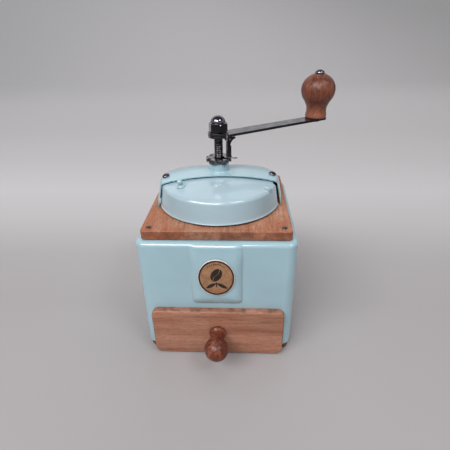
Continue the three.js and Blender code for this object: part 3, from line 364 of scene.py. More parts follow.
class Finish(Nodes):
    """A material with its surface node and short ways to build its patterns."""

    def __init__(self, name, **surface):
        self.material = bpy.data.materials.new(name)
        self.material.use_nodes = True
        super().__init__(self.material.node_tree, "Object")
        self.surface = self.tree.nodes["Principled BSDF"]
        for key, value in surface.items():
            self.surface.inputs[key.replace("_", " ")].default_value = value

    def noise(self, scale, detail=3, stretch=(1, 1, 1), turn=0, roughness=0.5, distortion=0):
        """Noise with patches of about 1 / scale metres, longer where stretch is below 1."""
        mapped = self.put("Mapping", {"Vector": self.place}, {"vector_type": "TEXTURE"},
                          Scale=[1 / (scale * s) for s in stretch], Rotation=(0, 0, turn))
        return self.put("TexNoise", {"Vector": mapped.outputs[0]}, Scale=1, Detail=detail,
                        Roughness=roughness, Distortion=distortion).outputs["Fac"]

    def ramp(self, value, *stops):
        """Colours or greys along a value: (position, colour) pairs."""
        node = self.put("ValToRGB", {"Fac": value})
        stops_now = node.color_ramp.elements
        while len(stops_now) < len(stops):
            stops_now.new(0.5)
        for stop, (position, colour) in zip(stops_now, stops):
            stop.position = position
            stop.color = colour if isinstance(colour, tuple) else (colour, colour, colour, 1)
        return node.outputs["Color"]

    def mix(self, amount, first, second, blend="MIX"):
        """Mix two colours; each may be a socket or a colour, and so may the amount."""
        node = self.put("Mix", settings={"data_type": "RGBA", "blend_type": blend})
        for index, value in ((0, amount), (6, first), (7, second)):
            if hasattr(value, "is_output"):
                self.tree.links.new(value, node.inputs[index])
            else:
                node.inputs[index].default_value = value
        return node.outputs[2]

    def rim(self, centre, half, width):
        """1 at the edges of a board, 0 from a width inside them; half 0 for no edge."""
        shifted = self.vector("SUBTRACT", self.place, [c * MM for c in centre])
        inside = [(h - width) * MM if h else 9 for h in half]
        inner = self.vector("SUBTRACT", self.vector("ABSOLUTE", shifted), inside)
        return self.span(self.maths("MAXIMUM", *self.axes(inner)), 0, width * MM)

    def bump(self, *layers):
        """Stack bumps of (height socket, strength, depth)."""
        normal = None
        for height, strength, depth in layers:
            links = {"Height": height, "Normal": normal} if normal else {"Height": height}
            normal = self.put("Bump", links, Strength=strength, Distance=depth * MM).outputs[0]
        self.link("Normal", normal)

    def link(self, socket, value):
        self.tree.links.new(value, self.surface.inputs[socket])

# %% [markdown]
# The body, cover and lid are steel with a thick pale blue enamel, sprayed by hand: glossy, very
# slightly uneven in tone, with a faint orange-peel in the reflections and a little dust.

# %% Enamel
def enamel(name, colour, coat_roughness=0.06):
    finish = Finish(name, Coat_Weight=1.0, Coat_Roughness=coat_roughness)
    tone = finish.noise(26, detail=2)
    dust = finish.ramp(finish.noise(700, detail=1), (0.0, 1.0), (0.72, 1.0), (0.8, 0.86))
    paint = finish.ramp(tone, (0.3, tinted(colour, 0.93)), (0.7, tinted(colour, 1.05)))
    finish.link("Base Color", finish.mix(1.0, paint, dust, "MULTIPLY"))
    finish.link("Roughness", finish.span(finish.noise(140, detail=4), 0, 1, 0.13, 0.27))
    finish.bump((finish.noise(420, detail=1), 0.1, 0.12), (finish.noise(60, detail=1), 0.12, 0.3))
    return finish


blue_enamel = enamel("blue_enamel", shade(157, 188, 199))
lid_enamel = enamel("lid_enamel", shade(165, 187, 197), 0.1)

# %% [markdown]
# The boards and the drawer are beech: long, slightly wavy grain, short dark flecks, and an oiled
# surface that is duller in the pores. Grain is noise squeezed across the board and drawn out
# along it. Oil has darkened the upper board towards its corners. A dark, ragged rim of painted
# shade runs over the sides and edges of the upper board and the drawer front. The knobs are the
# same wood, stained redder and varnished, and the neck of the crank knob is painted paler near
# its foot, which is painted light.

# %% Wood
def stain_outside(finish, stretch, start, end):
    """An uneven stain: none within one distance from the Z axis and most beyond another."""
    reach = finish.vector("LENGTH", finish.vector("MULTIPLY", finish.place, (1, 1, 0)))
    uneven = finish.ramp(finish.noise(150, detail=4, stretch=stretch, roughness=0.65),
                         (0.36, 0.1), (0.62, 1.0))
    return finish.mix(1.0, finish.span(reach, start * MM, end * MM), uneven, "MULTIPLY")


def wood(name, along, pale, mid, dark, gloss=0.5, fleck=0.5, spread=0.2, draw=0.05, blotch=0.55,
         edges=None, oiled=None, painted_lit_foot=None):
    """Beech, from the axis that its grain runs along and three colours of the grain.

    Spread is how much of the grain's range goes from dark to pale, and draw the width of a grain
    line over its length. Edges is a dark rim of painted shade, and the paler rim at a foot is
    painted light; both are as for Finish.rim. Oiled is a stain: where it starts and is full, as
    distances from the shaft, and its colour.
    """
    pale, mid, dark = shade(*pale), shade(*mid), shade(*dark)
    # dark of the flecks, and of the painted shade along the edges
    fleck_and_edge_shade_dark = tinted(dark, 0.5)
    finish = Finish(name, Specular_IOR_Level=0.4)
    stretch = tuple(draw if axis == along else 1 for axis in "XYZ")
    broad = finish.noise(60, detail=5, stretch=stretch, distortion=0.8, roughness=0.6)
    fine = finish.noise(620, detail=4, stretch=stretch, roughness=0.75)
    patches = finish.noise(34, detail=4, roughness=0.6)
    flecks = finish.noise(1050, detail=2, stretch=tuple(s ** 0.5 for s in stretch))
    grain = finish.mix(0.45, *(finish.ramp(lines, (0.25, 0.0), (0.75, 1.0))
                               for lines in (broad, fine)))
    colour = finish.ramp(grain, (0.5 - spread, dark), (0.5, mid), (0.5 + spread, pale))
    colour = finish.mix(finish.ramp(patches, (0.4, 0.0), (0.66, blotch)), colour,
                        tinted(mid, 0.98, 0.74, 0.6))
    if oiled:
        colour = finish.mix(stain_outside(finish, stretch, *oiled[:2]), colour, oiled[2])
    # painted light: a paler rim, here at the foot of the crank knob's neck
    if painted_lit_foot:
        colour = finish.mix(finish.rim(*painted_lit_foot), colour, pale)
    colour = finish.mix(finish.ramp(flecks, (0.0, 0.0), (0.54, 0.0), (0.66, fleck)), colour, fleck_and_edge_shade_dark)
    # painted shade: a dark, ragged rim over the sides and edges of a board
    if edges:
        ragged = finish.ramp(finish.noise(160, detail=4), (0.35, 0.05), (0.7, 0.85))
        colour = finish.mix(finish.mix(1.0, finish.rim(*edges), ragged, "MULTIPLY"), colour, fleck_and_edge_shade_dark)
    finish.link("Base Color", colour)
    finish.link("Roughness", finish.span(fine, 0, 1, gloss - 0.08, gloss + 0.14))
    finish.bump((fine, 0.3, 0.12), (flecks, 0.25, 0.08))
    return finish


# painted shade: dark rims over the sides and edges of the upper board and the drawer front
board_beech = wood("board_beech", "Y", (189, 147, 124), (166, 119, 94), (134, 84, 60), draw=0.12,
                   blotch=0.6, edges=((0, 0, 109), (55.4, 55.4, 0), 0.5),
                   oiled=(51, 64, shade(152, 82, 50)))
drawer_beech = wood("drawer_beech", "X", (182, 132, 109), (160, 112, 91), (128, 82, 63),
                    fleck=0.35, spread=0.22, edges=((0, 0, 23.6), (52.5, 0, 22.4), 0.9))
box_beech = wood("box_beech", "Y", (216, 178, 142), (198, 156, 120), (166, 122, 88), gloss=0.55)
dark_beech = wood("dark_beech", "X", (126, 78, 62), (102, 60, 46), (72, 40, 32))
# painted light: the crank knob's neck is paler near its foot
knob_wood = wood("knob_wood", "Z", (150, 93, 72), (117, 67, 50), (76, 40, 30), gloss=0.38,
                 fleck=0.6, spread=0.16, painted_lit_foot=((0, 0, 204.25), (0, 0, 36), 14))
pull_wood = wood("pull_wood", "Z", (144, 84, 61), (108, 54, 38), (60, 26, 18), gloss=0.3,
                 fleck=0.6, spread=0.15)

# %% [markdown]
# The crank parts were chromed and have dulled: dark, with fine scratches along the arm and a
# trace of dirt in the low spots. Hidden parts are plainer: bright sheet, turned steel, cast iron.

# %% Metals
def metal(name, colour, roughness, dirt, scratch=(1, 1, 1), turn=0, grainy=0, blots=70,
          dullest=0.45):
    """Scratches run along the short side of the stretch, turned about Z by some degrees.

    Dirt is how strong the stains are, blots their scale and dullest the darkest of them. A
    grainy surface is pitted and shows no scratches.
    """
    colour = shade(*colour)
    finish = Finish(name, Metallic=1.0)
    smear = finish.noise(blots, detail=4, roughness=0.6)
    stain = finish.ramp(smear, (0.35, 0.0), (0.65, dirt))
    finish.link("Base Color", finish.mix(stain, colour, tinted(colour, dullest)))
    finish.link("Roughness", finish.span(smear, 0, 1, roughness * 0.75, roughness * 1.45))
    if grainy:
        finish.bump((finish.noise(1300), grainy, 0.25), (smear, 0.1, 0.2))
    else:
        lines = finish.noise(900, stretch=scratch, turn=math.radians(turn))
        finish.bump((lines, 0.16, 0.06), (smear, 0.05, 0.25))
    return finish


arm_chrome = metal("arm_chrome", (164, 163, 168), 0.16, 0.8, scratch=(0.03, 1, 1), turn=33,
                   blots=160, dullest=0.35)
nut_chrome = metal("nut_chrome", (140, 137, 146), 0.06, 0.5)
disc_chrome = metal("disc_chrome", (188, 186, 190), 0.14, 1.0, grainy=0.6, blots=420, dullest=0.1)
dark_chrome = metal("dark_chrome", (132, 129, 137), 0.1, 0.7)
shaft_steel = metal("shaft_steel", (98, 96, 101), 0.18, 0.95, blots=380, dullest=0.14)
bright_steel = metal("bright_steel", (188, 190, 192), 0.26, 0.2)
tin_sheet = metal("tin_sheet", (178, 182, 184), 0.3, 0.3)
cast_iron = metal("cast_iron", (96, 96, 98), 0.5, 0.4, grainy=0.5)

# %% [markdown]
# ## Studio
# A seamless grey sheet under and behind the mill, a window's light from the front left, a large
# soft lamp overhead, a second one behind, and a small one on the right that puts a spark on the
# metal. The camera looks down at the mill from the front, a little to its right. Sizes in this
# section are in metres.

# %% Camera
CAMERA_PLACE, CAMERA_LENS = (0.0179, -0.2788, 0.2431), 29.01
YAW, PITCH, ROLL = 0.050, 0.509, -0.018  # radians: to the left, down, round the line of sight


def aim_camera():
    bpy.ops.object.camera_add(location=CAMERA_PLACE)
    camera = bpy.context.object
    camera.data.lens = CAMERA_LENS
    level = math.cos(PITCH)
    ahead = Vector((-math.sin(YAW) * level, math.cos(YAW) * level, -math.sin(PITCH)))
    right = Vector((math.cos(YAW), math.sin(YAW), 0))
    over = right.cross(ahead)
    side = math.cos(ROLL) * right + math.sin(ROLL) * over
    top = -math.sin(ROLL) * right + math.cos(ROLL) * over
    camera.rotation_euler = Matrix((side, top, -ahead)).transposed().to_euler()
    camera.data.clip_start, camera.data.clip_end = 0.01, 20
    bpy.context.scene.camera = camera
    print("camera at", [round(v, 3) for v in camera.location])


aim_camera()

# %% Floor and backdrop
SHEET_WIDE, SHEET_DEEP, SHEET_FORWARD, WALL_HIGH = 14, 4.4, 0.8, 2
BEND_RADIUS, BEND_STEPS = 0.6, 12


def extrude(y, z):
    bpy.ops.mesh.extrude_region_move(TRANSFORM_OT_translate={"value": (0, y, z)})


def sweep_sheet():
    """A floor that curves up into a back wall, well behind the mill."""
    clear_selection()
    bpy.ops.mesh.primitive_plane_add(size=1)
    sheet = begin("paper_sweep")
    edit()
    select_all()
    bpy.ops.transform.resize(value=(SHEET_WIDE, SHEET_DEEP, 1), center_override=(0, 0, 0))
    bpy.ops.transform.translate(value=(0, -SHEET_FORWARD, 0))
    pick("EDGE", lambda e: all(v.co.y > 1 for v in e.verts))
    for step in range(BEND_STEPS):
        first, last = (math.radians(90 * s / BEND_STEPS) for s in (step, step + 1))
        extrude(BEND_RADIUS * (math.sin(last) - math.sin(first)),
                BEND_RADIUS * (math.cos(first) - math.cos(last)))
    extrude(0, WALL_HIGH)
    stop_editing()
    bpy.ops.object.shade_smooth()
    return sheet


def paper_finish():
    """Grey paper with painted light. Seen directly or in a reflection it glows, brightest just
    behind the mill, brighter up the wall, and paler on the left than on the right; far off in front
    and at the sides it glows a little where it is seen directly.

    In front and at the sides, beyond the view, its reflection is painted dark, as dark as the room
    there.
    """
    paper = Finish("grey_paper", Roughness=0.9)
    paper.bump((paper.noise(60, detail=4), 0.05, 1.0))
    x, y, z = paper.axes(paper.place)
    rays, seen = paper.rays()
    camera, glossy = rays["Is Camera Ray"], rays["Is Glossy Ray"]
    # painted light: the paper glows brightest a little behind the mill, and more up the wall
    behind = paper.ramp(paper.span(y, 0, 1), (0.0, 0.0), (0.08, 0.14), (0.17, 0.54), (0.27, 0.76),
                        (0.42, 0.62), (0.65, 0.56), (1.0, 0.66))
    high = paper.span(z, 0.4, 1.0, 0.55, 1.75, "SMOOTHSTEP")
    glow = paper.maths("MULTIPLY", behind, high, seen)
    reach = paper.vector("LENGTH", paper.place)
    front = paper.span(y, 0.25, 0.0)
    spread = paper.maths("MULTIPLY", paper.span(reach, 0.5, 2.2, 0, 0.8), front, camera)
    # painted dark reflection: in reflected rays the paper in front of the mill is dark
    dark = paper.maths("MULTIPLY", front, paper.span(reach, 0.3, 0.5), glossy)
    # painted light: the glow is paler on the left than on the right
    painted_light_across = paper.mix(paper.span(x, -0.7, 0.7), shade(196, 198, 202), shade(172, 174, 176))
    paper.link("Base Color", paper.mix(dark, shade(160, 156, 157), shade(38, 36, 38)))
    paper.link("Emission Color", painted_light_across)
    paper.link("Emission Strength", paper.maths("MAXIMUM", glow, spread))
    return paper


sheet = sweep_sheet()
dress(sheet, paper_finish())
print("sheet", [round(v, 2) for v in sheet.dimensions])

# %% Lamps and air
AIR_DIM, AIR_PALE = 0.11, 0.42


def soft_lamp(name, place, aim_height, size, power, mirrored=True):
    """A square or oblong lamp aimed at the mill; an unmirrored one shows in no reflection."""
    bpy.ops.object.light_add(type="AREA", location=place)
    lamp = bpy.context.object
    lamp.name = name
    lamp.data.shape = "RECTANGLE"
    lamp.data.size, lamp.data.size_y = size
    lamp.data.energy = power
    ahead = Vector((0, 0, aim_height)) - Vector(place)
    lamp.rotation_euler = ahead.to_track_quat("-Z", "Y").to_euler()
    lamp.visible_glossy = mirrored


def room_air():
    """Plain dim air, pale up to a third of the way to the top where it is seen or reflected."""
    world = bpy.data.worlds.new("air")
    bpy.context.scene.world = world
    world.use_nodes = True
    air = Nodes(world.node_tree, "Generated")
    band = air.span(air.axes(air.place)["Z"], 0.32, 0.6, AIR_PALE, AIR_DIM)
    level = air.put("Mix", {"Factor": air.rays()[1], "B": band}, A=AIR_DIM)
    background = air.tree.nodes["Background"].inputs
    background["Color"].default_value = (1.0, 0.99, 1.0, 1)
    air.tree.links.new(level.outputs[0], background["Strength"])


soft_lamp("ceiling_lamp", (0.1, 0.1, 1.9), 0.1, (1.6, 1.6), 9.5, mirrored=False)
soft_lamp("side_lamp", (0.62, -0.6, 1.16), 0.1, (0.42, 0.3), 4.2)
soft_lamp("window_lamp", (-0.56, -1.02, 1.25), 0.05, (1.5, 0.62), 26.5)
soft_lamp("rear_lamp", (0.3, 1.5, 1.1), 0.1, (1.6, 1.0), 8.0, mirrored=False)
room_air()
bpy.context.scene.view_settings.view_transform = "Standard"

# %% [markdown]
# ## The pressed steel body
# A square tube with round corners whose top edge rolls in under the wooden board. The middle of
# the front is pressed out into a raised panel. The box is a cube with its edges bevelled; the
# panel is pressed out of a net cut into the front wall, like a pillow: its sides die softly into
# the wall, its lower end turns under, and its top leans back and follows the roll-over. Solidify
# then gives the sheet its thickness.

# %% Body
BODY_HALF, BODY_LOW, BODY_TOP, BODY_CORNER, BODY_ROLL, BODY_SHEET = 60, 7, 105, 8, 3.5, 1.2
PANEL_HALF, PANEL_LOW, PANEL_PROUD, PANEL_CORNER = 20, 50, 3, 5
RIM_HALF, MOUTH_HALF, MOUTH_LOW, MOUTH_TOP = 46, 45.6, 12.15, 42.4
BASE_SCREW_Y, BASE_SCREW_Z, BASE_HOLE = 36, 9.6, 1.45
CORNERS = (("front_left", -1, -1), ("rear_left", -1, 1), ("front_right", 1, -1),
           ("rear_right", 1, 1))


def rounded_box(name, half, low, high, corner, segments=12):
    """A square box about the Z axis with round upright corners."""
    piece = block(name, (-half, -half, low), (half, half, high))
    bevel_edges(piece, lambda e: runs_along(e, 2), corner, segments)
    return piece


def swell(inside, width):
    """0 at an edge, rising steeply there and levelling out to 1 at the given width inside it."""
    return 1 - (1 - min(max(inside / width, 0), 1)) ** 2


def panel_height(x, z, side_run=7.5, low_run=11, foot=1.6, level_until=84, fade=92):
    """How far the panel stands out: a pillow with a soft foot, leaning back at its top."""
    from_side, from_low = PANEL_HALF - abs(x), z - PANEL_LOW
    to_corner = max(0, PANEL_CORNER - from_side), max(0, PANEL_CORNER - from_low)
    from_rim = (PANEL_CORNER - math.hypot(*to_corner) if min(to_corner) > 0
                else min(from_side, from_low))
    low_run -= 4 * (x / PANEL_HALF) ** 2
    crown = swell(from_side, side_run) * swell(from_low, low_run) * swell(from_rim, foot)
    return crown * (PANEL_PROUD - max(0, z - level_until) ** 2 / (2 * fade))


def cut_front(axis, levels):
    """In edit mode, cut the front wall and its roll along planes across one axis."""
    plane = [0, 0, 0]
    plane[axis] = 1
    for level in levels:
        pick("FACE", lambda f: (f.calc_center_median().y < -0.93 * BODY_HALF * MM
                                and abs(f.normal.x) < 0.1))
        bpy.ops.mesh.bisect(plane_co=[n * level * MM for n in plane], plane_no=plane)


def press_panel(shell):
    """Cut a net into the front wall, closest along the panel's rim, and press the panel out."""
    inside = (0, 0.3, 0.6, 1, 1.4, 1.9, 2.5, 3.2, 4, 5, 6.2, 7.5, 9.5)
    edit()
    cut_front(0, sorted({side * (PANEL_HALF - d) for d in (*inside, 12.5, 16)
                         for side in (-1, 1)} | {0}))
    cut_front(2, [PANEL_LOW + d for d in (*inside, 11.5, 14)] + list(range(67, 100, 3)))
    stop_editing()
    for vertex in shell.data.vertices:
        x, y, z = vertex.co / MM
        if y < -BODY_HALF + BODY_ROLL + 0.5:
            vertex.co.y -= panel_height(x, z) * MM


def body_shell():
    shell = rounded_box("steel_body", BODY_HALF, BODY_LOW, BODY_TOP, BODY_CORNER)
    bevel_edges(shell, lies_at(2, BODY_TOP), BODY_ROLL, 8)
    press_panel(shell)
    edit()
    pick("FACE", lambda f: f.normal.z < -0.9)
    bpy.ops.mesh.delete(type="FACE")
    merge(0.004)
    stop_editing()
    apply_modifier(shell, "SOLIDIFY", thickness=BODY_SHEET * MM, offset=-1, use_even_offset=True)
    cut(shell, rounded_box("rim_mouth", RIM_HALF, 95, 115, 4))
    cut(shell, block("drawer_mouth", (-MOUTH_HALF, -70, MOUTH_LOW), (MOUTH_HALF, -50, MOUTH_TOP)))
    for _, x, y in CORNERS:
        hole = turn_round(drum("hole", BASE_HOLE, -4, 4, sides=24), math.pi / 2, "Y")
        cut(shell, move(hole, x * BODY_HALF, y * BASE_SCREW_Y, BASE_SCREW_Z))
    return shell


hand_over(body_shell(), blue_enamel, "housing", "paint", "body_shell", flat=True)

# %% [markdown]
# ## The two boards
# The upper board carries the hopper, so it has a large round hole, hidden under the bowl's
# flange. Both are blocks whose corners are rounded on a router and whose edges are eased with
# sandpaper, which here are two bevels, a wide one and a narrow one.

# %% Boards
BOARD_HALF, BOARD_LOW, BOARD_TOP, BOARD_CORNER = 55.4, BODY_TOP + GAP, 112.7, 3
BOARD_SCREW, BOARD_HOLE, HOPPER_HOLE = 49.7, 1.35, 41
FOOT_HALF, FOOT_HIGH, FOOT_CORNER, FOOT_CHAMFER = 58.5, 12, 6, 1.5


def top_board():
    board = rounded_box("hopper_board", BOARD_HALF, BOARD_LOW, BOARD_TOP, BOARD_CORNER, 8)
    soften(board, 0.8, 4)
    drill(board, HOPPER_HOLE, 100, 120, sides=128)
    for _, x, y in CORNERS:
        drill(board, BOARD_HOLE, 100, 120, (x * BOARD_SCREW, y * BOARD_SCREW))
    return board


def base_board():
    board = rounded_box("foot_board", FOOT_HALF, 0, FOOT_HIGH, FOOT_CORNER, 10)
    bevel_edges(board, lies_at(2, 0), FOOT_CHAMFER, 4)
    return soften(board, 0.3)


hand_over(top_board(), board_beech, "housing", "beech", "top_board", flat=True)
hand_over(base_board(), dark_beech, "housing", "dark_wood", "base_board", flat=True)

# %% [markdown]
# ## Screws
# Plain slotted screws, as on any such mill: a low domed head turned on the lathe, with a slot
# sawn across it. One is made for each size and copied. No two slots point the same way. The
# hopper's cover is a dome that stands turned a little about the shaft, and its screws with it.

# %% Screws
COVER_TURN = math.radians(3.2)
TURNED = Matrix.Rotation(COVER_TURN, 3, "Z")
CROWN_Z, CROWN_R = 139.35, 192
FOOT_Z = BOARD_TOP + GAP
COVER_SCREW_X, COVER_SCREW_Y = 43.2, -1.5
EAR_ANGLES, EAR_REACH = {"right": 60, "left": 120}, 5
COVER_FOOT, COVER_FOOT_BACK = 52, 49.7


def slotted_screw(name, head, height, shank, length):
    """A screw with its seat at z = 0 and its head upward."""
    crown = arc(0, height * 0.25, head * 0.99, 90, 8, 10, rise=height * 0.72, least=head * 0.0198)
    piece = turned(name, crown + [(head * 0.99, height * 0.22), (head * 0.97, 0), (shank, 0),
                                  (shank, -length)], 40)
    return cut(piece, block("slot", (-head * 2, -head / 8, height * 0.5),
                            (head * 2, head / 8, height * 3)))


def set_screw(pattern, node, place, slot_angle, finish, slot, outward=UP):
    """Copy a screw, turn its slot, point its head outward and put its seat at a place."""
    take(pattern)
    bpy.ops.object.duplicate(linked=False)
    screw = bpy.context.object
    screw.name = screw.data.name = node + "_turned"
    turn_round(screw, math.radians(slot_angle))
    screw.data.transform(UP.rotation_difference(Vector(outward)).to_matrix().to_4x4())
    hand_over(move(screw, *place), finish, "housing", slot, node)


def square_to_dome(x, y, radius, lift=0.0):
    """Place and outward direction of something seated on a dome of that radius, cover turned."""
    height = math.sqrt(radius ** 2 - x ** 2 - y ** 2)
    normal = Vector((x, y, height)).normalized()
    return TURNED @ (Vector((x, y, CROWN_Z - CROWN_R + height)) + lift * normal), TURNED @ normal


def ear_place(angle):
    """Middle of an ear: the cover's foot comes in a little towards the back."""
    a = math.radians(angle)
    reach = COVER_FOOT + (COVER_FOOT_BACK - COVER_FOOT) * math.sin(a) ** 2 + EAR_REACH
    return Vector((reach * math.cos(a), reach * math.sin(a), 0))


board_screw = slotted_screw("board_screw", 2, 0.7, 1.1, 11)
for corner, x, y in CORNERS:
    set_screw(board_screw, "board_screw_" + corner, (x * BOARD_SCREW, y * BOARD_SCREW, FOOT_Z),
              57.5 + 22.5 * y + x * BOARD_SCREW / 2, dark_chrome, "dark_steel")
base_screw = slotted_screw("base_screw", 2.6, 1.4, 1.2, 11)
for corner, x, y in CORNERS:
    place = x * (BODY_HALF + GAP), y * BASE_SCREW_Y, BASE_SCREW_Z
    set_screw(base_screw, "base_screw_" + corner, place, x * (42.5 + 22.5 * y), bright_steel,
              "steel", outward=(x, 0, 0))
cover_screw = slotted_screw("cover_screw", 3.1, 2.1, 1.3, 6)
for side, sign, angle in (("left", -1, 62), ("right", 1, -50)):
    place, outward = square_to_dome(sign * COVER_SCREW_X, 0, CROWN_R, GAP)
    place += TURNED @ Vector((0, COVER_SCREW_Y, 0))
    set_screw(cover_screw, "cover_screw_" + side, place, angle, dark_chrome, "steel", outward)
ear_screw = slotted_screw("ear_screw", 2.8, 1.6, 1.3, 7)
for side, angle in EAR_ANGLES.items():
    spot = TURNED @ ear_place(angle)
    set_screw(ear_screw, "cover_foot_screw_" + side, (spot.x, spot.y, FOOT_Z + 1 + GAP), angle,
              bright_steel, "steel")
for pattern in (board_screw, base_screw, cover_screw, ear_screw):
    bpy.data.objects.remove(pattern)

# %% [markdown]
# ## The badge
# A small stamped and printed plate on the raised panel. It is an oval with a dark red rim, a
# brass-brown field and, in low relief, a coffee bean over two leaves, with a row of beads. It
# carries no lettering.

# %% Badge
BADGE_Z, BADGE_BACK, RELIEF_BASE = 78, -(BODY_HALF + PANEL_PROUD + GAP), 0.82
BADGE_CENTRE = (0, 0, BADGE_Z * MM)


def oval_plate(name, half_wide, half_high, low, high, ease=0.02):
    """An oval plate that faces -Y; low and high count outwards from the panel."""
    plate = drum(name, 1, low, high, sides=96)
    plate.data.transform(Matrix.Diagonal((half_wide, half_high, 1, 1)))
    soften(plate, ease, 3)
    return move(turn_round(plate, math.pi / 2, "X"), 0, BADGE_BACK, BADGE_Z)


def bead(name, x, z, wide, high, proud=0.32):
    """A low oval cushion on the badge."""
    clear_selection()
    bpy.ops.mesh.primitive_uv_sphere_add(segments=32, ring_count=16, radius=MM)
    piece = begin(name)
    piece.data.transform(Matrix.Diagonal((wide, proud, high, 1)))
    return move(piece, x, BADGE_BACK - RELIEF_BASE, BADGE_Z + z)


def lean(piece, x, z, degrees):
    """Lean a relief about the middle of the badge and shift it to its place."""
    return move(turn_round(piece, math.radians(degrees), "Y", BADGE_CENTRE), x, 0, z)


def bean(wide, high):
    """A coffee bean in relief: a cushion with a wavy cleft sawn down its middle."""
    piece = bead("bean", 0, 0, wide, high, proud=0.36)
    middle, half = BADGE_BACK - 1.2, 1.05 * high
    cleft = block("cleft", (-0.275, middle - 0.4, BADGE_Z - half),
                  (0.275, middle + 0.4, BADGE_Z + half))
    edit()
    select_all()
    bpy.ops.mesh.subdivide(number_cuts=24)
    stop_editing()
    for vertex in cleft.data.vertices:
        turn = (vertex.co.z / MM - BADGE_Z) / high
        vertex.co.x += 0.22 * wide * MM * math.sin(turn * math.pi)
    return cut(piece, cleft)


def leaf(wide=1.55, high=4.6):
    """A pointed leaf: a cushion drawn in towards its two tips."""
    piece = bead("leaf", 0, 0, wide, high, proud=0.3)
    for vertex in piece.data.vertices:
        along = abs(vertex.co.z / MM - BADGE_Z) / high
        vertex.co.x *= 1 - 0.55 * along ** 2
    return piece


def printed(name, metallic, low, high, rough, scale, **noise):
    """A print whose colour wanders between two shades, and its roughness too if given."""
    finish = Finish(name, Metallic=metallic)
    wander = finish.noise(scale, **noise)
    finish.link("Base Color", finish.ramp(wander, (0.3, shade(*low)), (0.7, shade(*high))))
    if rough:
        finish.link("Roughness", finish.span(wander, 0, 1, *rough))
    return finish


badge_edge = cut(oval_plate("badge_edge", 13.8, 16.25, 0, 1.05, 0.25),
                 oval_plate("inner", 13.4, 15.85, -1, 3))
badge_rim = cut(oval_plate("badge_rim", 13.39, 15.84, 0, 1.15, 0.3),
                oval_plate("sunk", 12.2, 14.6, 0.75, 3))
badge_line = cut(oval_plate("badge_line", 12.19, 14.59, 0.3, 0.95, 0.1),
                 oval_plate("inner", 11.6, 14.0, 0, 3))
badge_field = oval_plate("badge_field", 11.59, 13.99, 0.3, 0.83, 0.05)
relief = [lean(bean(4.0, 6.2), 0, 2.6, 24), lean(leaf(), -4.1, -7.2, 58),
          lean(leaf(), 4.1, -7.2, -58), bead("stalk", 0, -6.2, 0.45, 2.6)]
for step in range(9):
    angle = math.radians(54 + 9 * step)
    relief.append(bead("bead", 10.1 * math.cos(angle), 12.3 * math.sin(angle), 0.5, 0.5))
take(*relief)
bpy.ops.object.join()
badge_relief = relief[0]
badge_relief.name = badge_relief.data.name = "badge_relief"

badge_red = Finish("badge_red", Base_Color=shade(74, 30, 30), Metallic=0.35)
badge_red.link("Roughness", badge_red.span(badge_red.noise(300), 0, 1, 0.25, 0.45))
badge_brass = printed("badge_brass", 0.3, (146, 104, 74), (186, 144, 108), (0.28, 0.5), 240,
                      detail=4, roughness=0.65)
badge_dark = printed("badge_dark", 0.3, (40, 30, 26), (58, 44, 36), (0.35, 0.55), 500, detail=2)
badge_cream = printed("badge_cream", 0, (196, 192, 186), (226, 224, 220), None, 400)
for piece, finish in ((badge_edge, badge_cream), (badge_rim, badge_red),
                      (badge_line, badge_brass), (badge_field, badge_brass),
                      (badge_relief, badge_dark)):
    hand_over(piece, finish, "housing", "badge", "badge", smooth=50)

# %% [markdown]
# ## The drawer
# The front board is wider than the drawer itself and stands off the body, so that it closes
# against the two side edges of the mouth. Its corners are well rounded and its front edges
# eased. The box behind is four plain boards.

# %% Drawer
FRONT_HALF, FRONT_LOW, FRONT_TOP, FRONT_FACE, FRONT_BACK = 52.5, 1.2, 46, -65.8, -60.3
PULL_Z = 25.5
BOX_INSIDE, BOX_OUTSIDE, BOX_LOW, BOX_TOP, BOX_REAR = 40, 45, 12.3, 41.8, 47.95


def drawer_front():
    front = block("front_board", (-FRONT_HALF, FRONT_FACE, FRONT_LOW),
                  (FRONT_HALF, FRONT_BACK, FRONT_TOP))
    bevel_edges(front, lambda e: runs_along(e, 1), 5.5, 14)
    bevel_edges(front, lies_at(1, FRONT_FACE), 1.4, 6)
    bevel_edges(front, lies_at(1, FRONT_BACK), 0.5, 2)
    hole = turn_round(drum("hole", 1.85, -5, 5, sides=32), math.pi / 2, "X")
    return cut(front, move(hole, 0, -63, PULL_Z))


def drawer_side(name, x_low, x_high):
    return soften(block(name, (x_low, -60.05, BOX_LOW), (x_high, BOX_REAR, BOX_TOP)), 0.4)


hand_over(drawer_front(), drawer_beech, "drawer", "beech", "drawer_front", flat=True)
hand_over(drawer_side("left_board", -BOX_OUTSIDE, -BOX_INSIDE), box_beech, "drawer", "beech",
          "drawer_side_left", flat=True)
hand_over(drawer_side("right_board", BOX_INSIDE, BOX_OUTSIDE), box_beech, "drawer", "beech",
          "drawer_side_right", flat=True)
finish_nodes(box_beech, "drawer_back", "drawer_bottom")

# %% [markdown]
# ## Turned knobs
# The crank knob is a ball on a waisted neck with a soft foot; the drawer knob is the same idea in
# small, on a slender neck. Both are turned from one piece of wood, sanded and varnished.

# %% Crank knob and drawer knob
ARM_ANGLE = math.radians(33)
ARM_TOP, ARM_THICK, NUT_SEAT, CRANK_REACH = 168, 2, 170.1, 100
KNOB_PLACE = (CRANK_REACH * math.cos(ARM_ANGLE), CRANK_REACH * math.sin(ARM_ANGLE))


